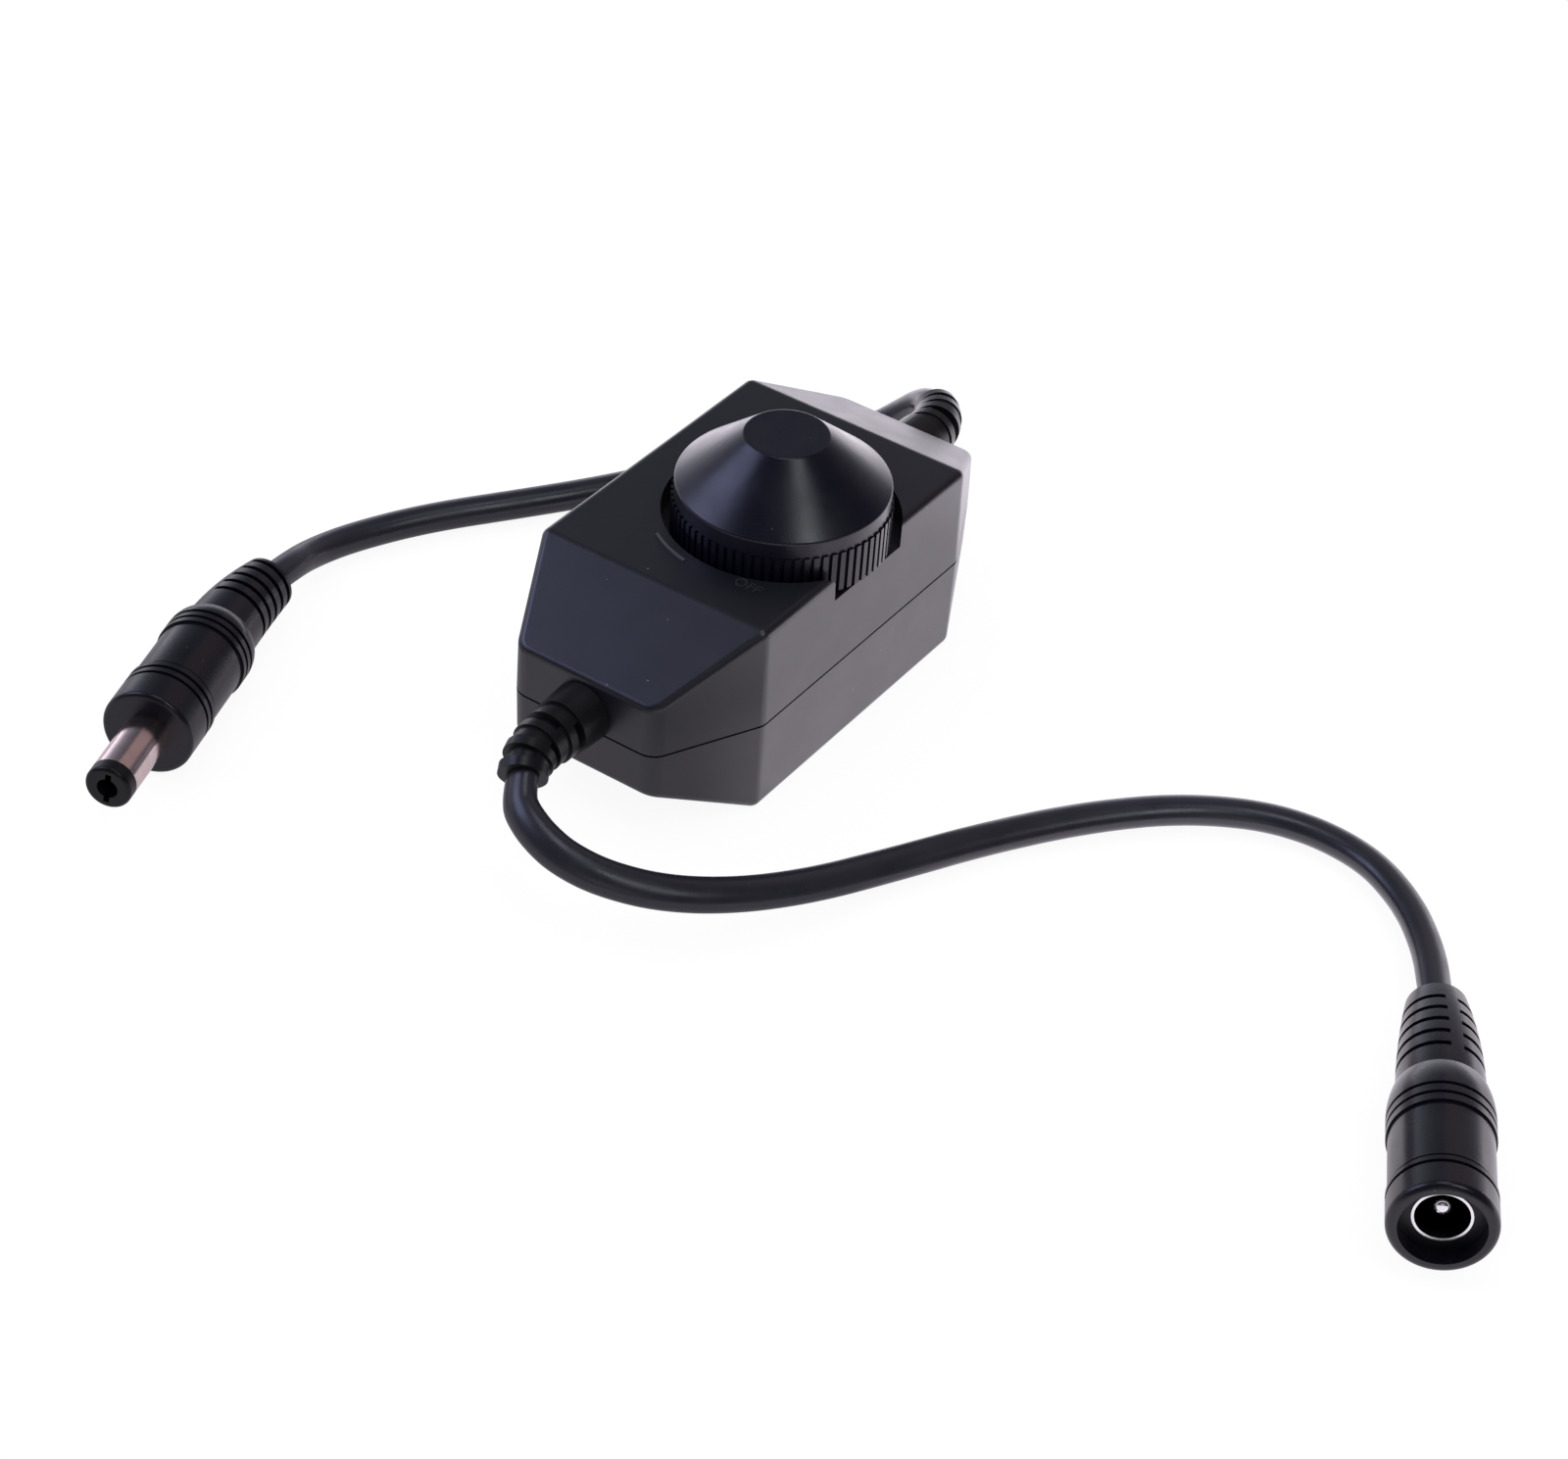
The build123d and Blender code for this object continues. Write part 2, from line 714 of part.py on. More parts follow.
jack = Connector(
    jack_x,
    jack_y,
    jack_heading,
    jack_tilt,
    jack_roll,
    jack_relief_length,
    jack_bend,
    (jack_relief_length + jack_flare_length, jack_radius),
)
plug = Connector(
    plug_x,
    plug_y,
    plug_heading,
    plug_tilt,
    plug_roll,
    plug_relief_length,
    plug_bend,
    (plug_relief_length + plug_flare_length, plug_radius),
)


def ringed_body(line, length, radii, flare, rim, waist):
    """Body of a connector's grip: shoulder ledge, flare, and a waist between two bands."""
    shoulder_radius, radius, waist_radius = radii
    start = line.relief_length
    with BuildPart() as body:
        with BuildSketch(line.section) as outline:
            with BuildLine():
                Polyline(
                    (start, shoulder_radius),
                    (start, 0),
                    (length, 0),
                    (length, radius),
                    (waist[1], radius),
                    (waist[1], waist_radius),
                    (waist[0], waist_radius),
                    (waist[0], radius),
                    (start + flare, radius),
                )
                TangentArc((start + flare, radius), (start, shoulder_radius), tangent=(-1, 0))
            make_face()
            fillet(outline.vertices().group_by(Axis.X)[-1].sort_by(Axis.Y)[-1], rim)
            fillet(outline.vertices().group_by(Axis.X)[0].sort_by(Axis.Y)[-1], shoulder_rounding)
        revolve(axis=line.axis)
    return body.part


def overmould(line, body_part, radius, relief_radii, slot_start, slot_pitch, grooves):
    """Moulded grip of a connector: slotted strain relief on its ringed body."""
    tip_radius, middle_radius, end_radius = relief_radii
    with BuildPart() as grip:
        add(body_part)
        with BuildSketch(line.across(0)):
            Circle(tip_radius - relief_rounding)
        with BuildSketch(line.across(relief_rounding)):
            Circle(tip_radius)
        loft()
        with BuildSketch(line.across(relief_rounding)):
            Circle(tip_radius)
        with BuildSketch(line.across(line.relief_length / 2)):
            Circle(middle_radius)
        with BuildSketch(line.across(line.relief_length)):
            Circle(end_radius)
        loft()
        for i in range(relief_slot_count):
            with BuildSketch(line.across(slot_start + i * slot_pitch)):
                Circle(radius)
                Circle(relief_core_radius, mode=Mode.SUBTRACT)
                Rectangle(relief_web_width, 2 * radius, mode=Mode.SUBTRACT)
            extrude(amount=relief_slot_width, mode=Mode.SUBTRACT)
        for s in grooves:
            with BuildSketch(line.across(s - groove_width / 2)):
                Circle(2 * radius)
                Circle(radius - groove_depth, mode=Mode.SUBTRACT)
            extrude(amount=groove_width, mode=Mode.SUBTRACT)
    return grip.part


# Jack: grip, moulded insert, contact sleeve and centre pin
jack_body = ringed_body(
    jack,
    jack_length,
    (jack_shoulder_radius, jack_radius, jack_waist_radius),
    jack_flare_length,
    jack_rim_rounding,
    (jack_rear_grooves[-1], jack_front_grooves[0]),
)
jack_grip = overmould(
    jack,
    jack_body,
    jack_radius,
    (jack_relief_tip_radius, jack_relief_middle_radius, jack_relief_radius),
    jack_slot_start,
    jack_slot_pitch,
    jack_rear_grooves + jack_front_grooves,
)
insert_front = jack_length - jack_mouth_depth
insert_back = insert_front - jack_insert_length
pin_front = jack_length - centre_pin_tip_depth
with BuildPart() as jack_overmould:
    add(jack_grip)
    with BuildSketch(jack.across(jack_length)):
        Circle(jack_mouth_radius)
    extrude(amount=-jack_mouth_depth - jack_insert_length, mode=Mode.SUBTRACT)
finish(jack_overmould.part, "jack_overmould")

with BuildPart() as jack_insert:
    with BuildSketch(jack.across(insert_back)):
        Circle(jack_mouth_radius - fit_clearance)
    extrude(amount=jack_insert_length)
    with BuildSketch(jack.across(insert_front)):
        Circle(sleeve_radius + fit_clearance)
    extrude(amount=sleeve_stand - sleeve_length, mode=Mode.SUBTRACT)
    with BuildSketch(jack.across(insert_front)):
        Circle(centre_pin_radius + fit_clearance)
    extrude(amount=sleeve_stand - sleeve_length - centre_pin_seat, mode=Mode.SUBTRACT)
finish(jack_insert.part, "jack_insert")

with BuildPart() as jack_sleeve:
    with BuildSketch(jack.across(insert_front + sleeve_stand)):
        Circle(sleeve_radius)
        Circle(sleeve_bore_radius, mode=Mode.SUBTRACT)
    extrude(amount=-sleeve_length)
finish(jack_sleeve.part, "jack_sleeve")

with BuildPart() as jack_pin:
    with BuildSketch(jack.across(insert_front + sleeve_stand - sleeve_length - centre_pin_seat)):
        Circle(centre_pin_radius)
    extrude(amount=pin_front - insert_front - sleeve_stand + sleeve_length + centre_pin_seat)
    tip = jack_pin.faces().sort_by(jack.axis)[-1]
    fillet(tip.edges(), 0.7 * centre_pin_radius)
finish(jack_pin.part, "jack_pin")

# Plug: grip, metal barrel, insulator with the black tip ring, and the spring contact inside it
plug_body = ringed_body(
    plug,
    plug_length,
    (plug_shoulder_radius, plug_radius, plug_waist_radius),
    plug_flare_length,
    plug_rim_rounding,
    (plug_rear_grooves[-1], plug_front_grooves[0]),
)
plug_grip = overmould(
    plug,
    plug_body,
    plug_radius,
    (plug_relief_tip_radius, plug_relief_middle_radius, plug_relief_radius),
    plug_slot_start,
    plug_slot_pitch,
    plug_rear_grooves + plug_front_grooves,
)
barrel_front = plug_length + barrel_length
barrel_back = plug_length - barrel_seat
tip_front = barrel_front + tip_length
with BuildPart() as plug_overmould:
    add(plug_grip)
    with BuildSketch(plug.across(plug_length)):
        Circle(barrel_seat_radius + fit_clearance)
    extrude(amount=-barrel_seat, mode=Mode.SUBTRACT)
finish(plug_overmould.part, "plug_overmould")

with BuildPart() as plug_barrel:
    with BuildSketch(plug.across(barrel_back)):
        Circle(barrel_seat_radius)
    extrude(amount=barrel_seat)
    with BuildSketch(plug.across(plug_length)):
        Circle(barrel_radius)
    extrude(amount=barrel_length)
    with BuildSketch(plug.across(barrel_back)):
        Circle(barrel_bore_radius)
    extrude(amount=barrel_seat + barrel_length, mode=Mode.SUBTRACT)
finish(plug_barrel.part, "plug_barrel")

with BuildPart() as plug_insulator:
    with BuildSketch(plug.across(barrel_back)):
        Circle(barrel_bore_radius - fit_clearance)
    extrude(amount=barrel_seat + barrel_length)
    with BuildSketch(plug.across(barrel_front)):
        Circle(barrel_radius)
    extrude(amount=tip_length)
    nose = plug_insulator.faces().sort_by(plug.axis)[-1]
    fillet(nose.edges(), tip_rounding)
    with BuildSketch(plug.across(barrel_back)):
        Circle(contact_radius + fit_clearance)
    extrude(amount=barrel_seat + barrel_length, mode=Mode.SUBTRACT)
    with BuildSketch(plug.across(tip_front)):
        Circle(contact_bore_radius)
        with Locations(Rotation(0, 0, 45)):
            Rectangle(tip_slot_length, tip_slot_width)
    extrude(amount=-tip_length, mode=Mode.SUBTRACT)
finish(plug_insulator.part, "plug_insulator")

with BuildPart() as plug_contact:
    with BuildSketch(plug.across(barrel_back)):
        Circle(contact_radius)
    extrude(amount=barrel_seat + barrel_length)
    with BuildSketch(plug.across(barrel_front)):
        Circle(contact_bore_radius)
    extrude(amount=-barrel_length, mode=Mode.SUBTRACT)
finish(plug_contact.part, "plug_contact")


def tube(points, radius, name):
    """Round tube along straight runs joined by the largest tangent arcs that the runs allow."""
    stops = [Vector(*p) for p in points]
    runs = [b - a for a, b in zip(stops, stops[1:])]
    radii = []
    for first, second in zip(runs, runs[1:]):
        half_turn = radians(first.get_angle(second)) / 2
        radii.append(0.45 * min(first.length, second.length) / tan(half_turn))
    with BuildPart() as body:
        with BuildLine() as route:
            FilletPolyline(*stops, radius=radii)
        with BuildSketch(Plane(origin=stops[0], z_dir=runs[0])):
            Circle(radius)
        sweep(path=route.line)
    length = sum(edge.length for edge in route.edges())
    print(name, "length", round(length, 2), "radii", [round(r, 1) for r in radii])
    print(name, "volume over section times length", round(body.part.volume / (pi * radius**2 * length), 5))
    return body.part


def cord_ends(path, connector):
    """First and last two points of a cord: along its gland's end, and along its connector's rear."""
    gland_end = path.across(gland_length)
    cord_end = connector.across(0)
    start = [gland_end.origin, gland_end.origin + gland_end.z_dir * cord_exit_run]
    end = [cord_end.origin - cord_end.z_dir * cord_exit_run, cord_end.origin]
    return start, end


# Cords, laid from gland to connector as they lie on the floor
input_laid = [
    (-49.0, -4.6, 11.9),
    (-50.0, -7.5, 11.2),
    (-50.3, -11.0, 10.3),
    (-49.0, -15.6, 9.0),
    (-45.4, -21.0, 7.4),
    (-39.3, -26.1, 5.7),
    (-31.0, -30.6, 3.9),
    (-21.0, -34.9, 2.5),
    (-10.0, -40.6, 2.1),
    (0.6, -47.8, 2.1),
    (9.3, -56.1, 2.1),
    (14.6, -65.8, 2.1),
    (14.7, -76.0, 2.1),
    (10.3, -83.7, 2.3),
    (4.1, -89.4, 2.8),
]
output_laid = [
    (47.6, 7.6, 10.8),
    (47.4, 10.2, 8.1),
    (46.4, 12.9, 5.6),
    (44.3, 16.0, 3.6),
    (40.9, 19.5, 2.5),
    (35.8, 23.5, 2.1),
    (29.4, 27.4, 2.1),
    (23.4, 30.6, 2.1),
    (16.6, 34.5, 2.1),
    (8.2, 40.3, 2.1),
    (-1.9, 47.6, 2.1),
    (-10.7, 52.1, 2.1),
    (-17.6, 53.4, 2.8),
]
input_start, input_end = cord_ends(input_path, jack)
input_cable = tube(input_start + input_laid + input_end, cord_radius, "input_cable")
finish(input_cable, "input_cable")
output_start, output_end = cord_ends(output_path, plug)
output_cable = tube(output_start + output_laid + output_end, cord_radius, "output_cable")
finish(output_cable, "output_cable")

# Leads, two from each gland's inner face down to the board
inner_face = half_length - wall - gland_flange_play - gland_flange_thickness
for end_name, side in (("input", -1), ("output", 1)):
    for pole_name, pole in (("negative", -1), ("positive", 1)):
        lead_points = [
            (side * inner_face, pole * lead_pitch / 2, gland_height),
            (side * (inner_face - lead_inset), pole * lead_pitch / 2, gland_height),
            (side * pad_x, pole * pad_y, board_top + lead_rise),
            (side * pad_x, pole * pad_y, board_top),
        ]
        lead_name = f"{end_name}_{pole_name}_lead"
        finish(tube(lead_points, lead_radius, lead_name), lead_name)
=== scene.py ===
"""Visual model of an in-line rotary dimmer with its two cords, lit and seen as in a product photograph.

Lengths are in metres, +Z is up, and the case stands on the floor with its near end at -X.
"""

import json
import logging
import math
from dataclasses import dataclass
from enum import Enum

import bpy
from mathutils import Matrix, Vector


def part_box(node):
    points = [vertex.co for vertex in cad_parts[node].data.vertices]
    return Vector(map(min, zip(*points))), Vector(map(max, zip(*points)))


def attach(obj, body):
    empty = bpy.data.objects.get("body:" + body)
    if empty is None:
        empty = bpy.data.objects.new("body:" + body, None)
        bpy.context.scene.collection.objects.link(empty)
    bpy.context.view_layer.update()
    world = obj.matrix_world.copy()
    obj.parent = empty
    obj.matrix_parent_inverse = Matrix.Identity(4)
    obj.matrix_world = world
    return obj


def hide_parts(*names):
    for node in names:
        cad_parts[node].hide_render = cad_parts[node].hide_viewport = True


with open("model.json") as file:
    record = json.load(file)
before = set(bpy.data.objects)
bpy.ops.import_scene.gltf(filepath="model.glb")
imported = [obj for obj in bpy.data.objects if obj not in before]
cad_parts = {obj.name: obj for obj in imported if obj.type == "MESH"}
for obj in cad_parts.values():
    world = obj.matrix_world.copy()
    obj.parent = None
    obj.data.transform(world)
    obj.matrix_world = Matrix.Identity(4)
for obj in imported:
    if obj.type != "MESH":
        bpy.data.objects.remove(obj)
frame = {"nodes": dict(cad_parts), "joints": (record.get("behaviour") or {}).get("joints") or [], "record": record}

LOG = logging.getLogger("dimmer")
MM = 0.001
CASE_BODY = "dimmer_body"
MOUNTS = {mount["name"]: mount for mount in frame["record"]["mounts"]}

Point = tuple[float, float, float]
Colour = tuple[float, float, float]
Pair = tuple[float, float]
Socket = bpy.types.NodeSocket
Level = Socket | float
Feed = Socket | Vector | Colour | float
Skin = tuple[list[Vector], list[tuple[int, int]], list[tuple[int, ...]]]

WHOLE: Pair = (0.0, 1.0)
WHITE: Colour = (1.0, 1.0, 1.0)
UP = Vector((0, 0, 1))


class FarEnd(Enum):
    """What a cord carries on its far end."""

    CONNECTOR = "connector"
    PLUG = "plug"


class RayKind(Enum):
    """Light paths that a stage surface answers to with its own brightness."""

    CAMERA = "Is Camera Ray"
    GLOSSY = "Is Glossy Ray"
    TRANSMISSION = "Is Transmission Ray"


class NodeTree:
    """A short way to add and join the nodes of one material or world."""

    def __init__(self, tree: bpy.types.NodeTree) -> None:
        """Empties the tree and keeps it."""
        self.tree = tree
        tree.nodes.clear()

    def feed(self, entry: Socket, value: Feed) -> None:
        """Links an output to an input, or sets the input itself.

        Args:
            entry: The input.
            value: An output, or the number, vector or colour to set.
        """
        if isinstance(value, Socket):
            self.tree.links.new(value, entry)
        elif entry.type == "RGBA":
            entry.default_value = (*value, 1.0)
        else:
            entry.default_value = value

    def add(
        self, kind: str, feeds: dict[str | int, Feed] | None = None, **settings: object
    ) -> bpy.types.Node:
        """Adds a node, sets its properties and feeds its inputs.

        Args:
            kind: The node's type name.
            feeds: What goes into its inputs, by their names or numbers.
            settings: Properties of the node to set.

        Returns:
            The new node.
        """
        node = self.tree.nodes.new(kind)
        for name, value in settings.items():
            setattr(node, name, value)
        for name, value in (feeds or {}).items():
            self.feed(node.inputs[name], value)
        return node

    def noise(self, place: Socket, scale: float, detail: float, rough: float = 0.5) -> Socket:
        """Adds a noise texture read at a place.

        Args:
            place: The coordinates to read it at.
            scale: Its scale, in cells a metre.
            detail: Its octaves.
            rough: How much the finer octaves count.

        Returns:
            The noise's value.
        """
        feeds = {"Vector": place, "Scale": scale, "Detail": detail, "Roughness": rough}
        return self.add("ShaderNodeTexNoise", feeds).outputs["Fac"]

    def spread(self, source: Socket, span: Pair, levels: tuple[Level, Level]) -> Socket:
        """Maps a value from one range to another and holds it there.

        Args:
            source: The value.
            span: The range that goes in.
            levels: The range that comes out.

        Returns:
            The mapped value.
        """
        feeds = {
            "Value": source,
            "From Min": span[0],
            "From Max": span[1],
            "To Min": levels[0],
            "To Max": levels[1],
        }
        return self.add("ShaderNodeMapRange", feeds, clamp=True).outputs["Result"]

    def blend(self, first: Socket | Colour, second: Colour, share: Socket) -> Socket:
        """Mixes two colours.

        Args:
            first: The colour where the share is 0.
            second: The colour where the share is 1.
            share: How much of the second shows.

        Returns:
            The mixed colour.
        """
        feeds = {"A": first, "B": second, "Factor": share}
        return self.add("ShaderNodeMix", feeds, data_type="RGBA").outputs["Result"]

    def combine(self, operation: str, first: Socket, second: Socket) -> Socket:
        """Joins two values by one step of arithmetic."""
        return self.add("ShaderNodeMath", {0: first, 1: second}, operation=operation).outputs["Value"]

    def coat(
        self, colour: Socket, rough: Socket, height: Socket, bump: Pair, even: dict[str, float]
    ) -> None:
        """Ends the tree in one bumped surface.

        Args:
            colour: Its colour.
            rough: Its roughness.
            height: What its bump follows.
            bump: Strength and depth of the bump.
            even: Numbers that are the same all over, by the names of the shader's inputs.
        """
        relief = self.add("ShaderNodeBump", {"Strength": bump[0], "Distance": bump[1], "Height": height})
        feeds = {"Base Color": colour, "Roughness": rough, "Normal": relief.outputs["Normal"], **even}
        self.end(self.add("ShaderNodeBsdfPrincipled", feeds).outputs["BSDF"])

    def end(self, shader: Socket, kind: str = "ShaderNodeOutputMaterial") -> None:
        """Sends a shader to the tree's output."""
        self.add(kind, {"Surface": shader})


def start_material(name: str) -> tuple[bpy.types.Material, NodeTree]:
    """Makes a material with no nodes in it yet.

    Args:
        name: The material's name.

    Returns:
        The material and its nodes.
    """
    material = bpy.data.materials.new(name)
    material.use_nodes = True
    return material, NodeTree(material.node_tree)


@dataclass(frozen=True)
class Drift:
    """A slow change over a surface.

    Attributes:
        cells: Cells of its noise, a metre.
        detail: Octaves of the noise.
        span: The noise's values at which the change starts and ends.
    """

    cells: float
    detail: float
    span: Pair

    def over(self, net: NodeTree, place: Socket, levels: Pair) -> Socket:
        """Changes a value over a surface from one level to another."""
        return net.spread(net.noise(place, self.cells, self.detail), self.span, levels)


@dataclass(frozen=True)
class Dust:
    """Fine pale specks that lie here and there.

    Attributes:
        colour: Their colour.
        cells: Places where a speck may lie, a metre.
        edge: Where a speck starts to fade and where it ends, in cells from its middle.
        rare: The draw above which a place has a speck, and the one from which it is at full strength.
    """

    colour: Colour = (0.34, 0.34, 0.36)
    cells: float = 900.0
    edge: Pair = (0.06, 0.11)
    rare: Pair = (0.955, 0.965)

    def over(self, net: NodeTree, place: Socket, body: Socket, amount: float) -> Socket:
        """Scatters specks over a colour.

        Args:
            net: The material's nodes.
            place: The coordinates.
            body: The colour under the specks.
            amount: How much they cover it.

        Returns:
            The colour with specks.
        """
        feeds = {"Vector": place, "Scale": self.cells, "Randomness": 1.0}
        spots = net.add("ShaderNodeTexVoronoi", feeds, feature="F1")
        speck = net.spread(spots.outputs["Distance"], self.edge, (1.0, 0.0))
        draw = net.add("ShaderNodeSeparateColor", {"Color": spots.outputs["Color"]})
        few = net.spread(draw.outputs["Red"], self.rare, (0.0, amount))
        return net.blend(body, self.colour, net.combine("MULTIPLY", speck, few))


TONE_DRIFT = Drift(cells=60.0, detail=3.0, span=(0.38, 0.62))
GLOSS_DRIFT = Drift(cells=220.0, detail=4.0, span=(0.35, 0.65))
WEAR_DRIFT = Drift(cells=400.0, detail=3.0, span=(0.4, 0.7))
FINE_DUST = Dust()

# The grain of moulded faces: its octaves, how much the finer ones count, and its depth.
GRAIN_DETAIL = 2.0
GRAIN_ROUGH = 0.6
GRAIN_DEPTH = 0.1 * MM

# The scratches in metal: their noise, the noise's values that change the gloss, and their bump.
SCRATCH_SPACING = 0.12 * MM
SCRATCH_STRETCH = (0.12, 1.0, 1.0)
SCRATCH_DETAIL = 4.0
SCRATCH_ROUGH = 0.7
SCRATCH_SPAN = (0.35, 0.65)
SCRATCH_RELIEF = 0.05
SCRATCH_DEPTH = 0.05 * MM


@dataclass(frozen=True)
class MouldedFinish:
    """Moulded plastic or rubber: a body with fine grain, uneven gloss and a little dust.

    Attributes:
        name: The material's name.
        colour: Body colour.
        pale: Body colour where the tone drifts lighter.
        gloss: Lowest and highest roughness.
        grain: Size of the grain.
        relief: Strength of the grain's bump.
        specular: Specular level of the surface.
        dust: How much pale dust shows, from 0.
    """

    name: str
    colour: Colour
    pale: Colour
    gloss: Pair
    grain: float
    relief: float
    specular: float = 0.5
    dust: float = 0.0

    def make(self) -> bpy.types.Material:
        """Builds the material.

        Returns:
            The material.
        """
        material, net = start_material(self.name)
        place = net.add("ShaderNodeTexCoord").outputs["Object"]
        body = net.blend(self.colour, self.pale, TONE_DRIFT.over(net, place, WHOLE))
        if self.dust:
            body = FINE_DUST.over(net, place, body, self.dust)
        rough = GLOSS_DRIFT.over(net, place, self.gloss)
        grain = net.noise(place, 1.0 / self.grain, GRAIN_DETAIL, GRAIN_ROUGH)
        net.coat(body, rough, grain, (self.relief, GRAIN_DEPTH), {"Specular IOR Level": self.specular})
        return material


@dataclass(frozen=True)
class MouthShade:
    """The open end of a connector, where shade is painted into the metal's colour, darker with depth.

    Attributes:
        mount: The mount that the opening lies in line with.
        ahead: How far the opening lies from the mount's place, along its axis.
        depth: Where the painted shade starts and where it is full, going in.
        full_shade: What is left of the brightness where the painted shade is full.
    """

    mount: str
    ahead: float
    depth: Pair
    full_shade: float

    def shade(self, net: NodeTree, place: Socket, colour: Socket) -> Socket:
        """Paints shade into a colour, darker with depth into the opening.

        Args:
            net: The material's nodes.
            place: The coordinates.
            colour: The colour at the opening.

        Returns:
            The colour with its painted shade.
        """
        mount = MOUNTS[self.mount]
        way = Vector(mount["axis"])
        opening = Vector(mount["pos_m"]) + way * self.ahead
        # Painted shade: the colour is scaled darker with depth past the opening, for the shade inside the
        # connector.
        offset = net.add("ShaderNodeVectorMath", {0: place, 1: opening}, operation="SUBTRACT")
        feeds = {0: offset.outputs["Vector"], 1: way}
        along = net.add("ShaderNodeVectorMath", feeds, operation="DOT_PRODUCT").outputs["Value"]
        level = net.spread(along, (-self.depth[1], -self.depth[0]), (self.full_shade, 1.0))
        shaded_colour = net.add("ShaderNodeVectorMath", {"Vector": colour, "Scale": level}, operation="SCALE")
        return shaded_colour.outputs["Vector"]


@dataclass(frozen=True)
class MetalFinish:
    """Plated or bare metal with fine scratches and a slow change of tone.

    Attributes:
        name: The material's name.
        colour: Colour of the clean metal.
        worn: Colour where it is worn.
        gloss: Lowest and highest roughness.
        mouth_shade: The opening from which painted shade darkens it with depth, if it has one.
    """

    name: str
    colour: Colour
    worn: Colour
    gloss: Pair
    mouth_shade: MouthShade | None = None

    def make(self) -> bpy.types.Material:
        """Builds the material.

        Returns:
            The material.
        """
        material, net = start_material(self.name)
        place = net.add("ShaderNodeTexCoord").outputs["Object"]
        stretched = net.add("ShaderNodeMapping", {"Vector": place, "Scale": SCRATCH_STRETCH})
        lines = net.noise(stretched.outputs["Vector"], 1.0 / SCRATCH_SPACING, SCRATCH_DETAIL, SCRATCH_ROUGH)
        colour = net.blend(self.colour, self.worn, WEAR_DRIFT.over(net, place, WHOLE))
        # Painted shade inside a connector's opening, where the finish has one.
        if self.mouth_shade:
            colour = self.mouth_shade.shade(net, place, colour)
        rough = net.spread(lines, SCRATCH_SPAN, self.gloss)
        net.coat(colour, rough, lines, (SCRATCH_RELIEF, SCRATCH_DEPTH), {"Metallic": 1.0})
        return material


Finish = MouldedFinish | MetalFinish

# Painted shade, darker with depth, inside the jack's sleeve and inside the plug's tip.
JACK_MOUTH_SHADE = MouthShade(mount="jack_socket", ahead=-2.0 * MM, depth=(0.25 * MM, 1.6 * MM), full_shade=0.12)
PLUG_MOUTH_SHADE = MouthShade(mount="plug_pin", ahead=6.35 * MM, depth=(0.2 * MM, 1.5 * MM), full_shade=0.1)

CASE_PLASTIC = MouldedFinish(
    name="case_plastic",
    colour=(0.0042, 0.004, 0.0092),
    pale=(0.0052, 0.0049, 0.0108),
    gloss=(0.34, 0.38),
    grain=0.22 * MM,
    relief=0.08,
    specular=0.85,
    dust=0.5,
)
KNOB_PLASTIC = MouldedFinish(
    name="knob_plastic",
    colour=(0.0036, 0.0033, 0.0105),
    pale=(0.0046, 0.0042, 0.0125),
    gloss=(0.26, 0.34),
    grain=0.16 * MM,
    relief=0.05,
    specular=0.6,
    dust=0.25,
)
GLAND_RUBBER = MouldedFinish(
    name="gland_rubber",
    colour=(0.004, 0.004, 0.0048),
    pale=(0.0055, 0.0055, 0.0066),
    gloss=(0.3, 0.4),
    grain=0.25 * MM,
    relief=0.1,
    specular=0.42,
)
GRIP_RUBBER = MouldedFinish(
    name="grip_rubber",
    colour=(0.0035, 0.0032, 0.0072),
    pale=(0.0046, 0.0042, 0.009),
    gloss=(0.25, 0.32),
    grain=0.25 * MM,
    relief=0.08,
    specular=0.54,
    dust=0.15,
)
CORD_SHEATH = MouldedFinish(
    name="cord_sheath",
    colour=(0.016, 0.0153, 0.0235),
    pale=(0.022, 0.0212, 0.0315),
    gloss=(0.26, 0.36),
    grain=0.4 * MM,
    relief=0.1,
    specular=0.62,
    dust=0.1,
)
CONNECTOR_INSERT = MouldedFinish(
    name="connector_insert",
    colour=(0.0032, 0.0031, 0.0044),
    pale=(0.0042, 0.0041, 0.0056),
    gloss=(0.28, 0.4),
    grain=0.3 * MM,
    relief=0.06,
    specular=0.34,
)
# The word and the arc are moulded in the case's black plastic; their lighter grey is a painted highlight on their
# edges.
WORD_PAINTED_HIGHLIGHT = MouldedFinish(
    name="word_painted_highlight",
    colour=(0.02, 0.02, 0.022),
    pale=(0.024, 0.024, 0.026),
    gloss=(0.3, 0.4),
    grain=0.2 * MM,
    relief=0.05,
    specular=0.7,
)
MARK_PAINTED_HIGHLIGHT = MouldedFinish(
    name="mark_painted_highlight",
    colour=(0.06, 0.06, 0.064),
    pale=(0.07, 0.07, 0.074),
    gloss=(0.25, 0.35),
    grain=0.2 * MM,
    relief=0.05,
    specular=0.7,
)
RED_LEAD = MouldedFinish(
    name="red_lead",
    colour=(0.42, 0.018, 0.015),
    pale=(0.5, 0.03, 0.022),
    gloss=(0.35, 0.5),
    grain=0.3 * MM,
    relief=0.06,
)
BLACK_LEAD = MouldedFinish(
    name="black_lead",
    colour=(0.012, 0.012, 0.012),
    pale=(0.018, 0.018, 0.018),
    gloss=(0.35, 0.5),
    grain=0.3 * MM,
    relief=0.06,
)
BOARD_LAMINATE = MouldedFinish(
    name="board_laminate",
    colour=(0.012, 0.09, 0.035),
    pale=(0.02, 0.14, 0.055),
    gloss=(0.25, 0.4),
    grain=0.5 * MM,
    relief=0.08,
)
TRACK_LAMINATE = MouldedFinish(
    name="track_laminate",
    colour=(0.12, 0.07, 0.03),
    pale=(0.17, 0.1, 0.045),
    gloss=(0.5, 0.65),
    grain=0.3 * MM,
    relief=0.1,
)
CHIP_EPOXY = MouldedFinish(
    name="chip_epoxy",
    colour=(0.014, 0.014, 0.014),
    pale=(0.022, 0.022, 0.022),
    gloss=(0.45, 0.6),
    grain=0.15 * MM,
    relief=0.15,
)

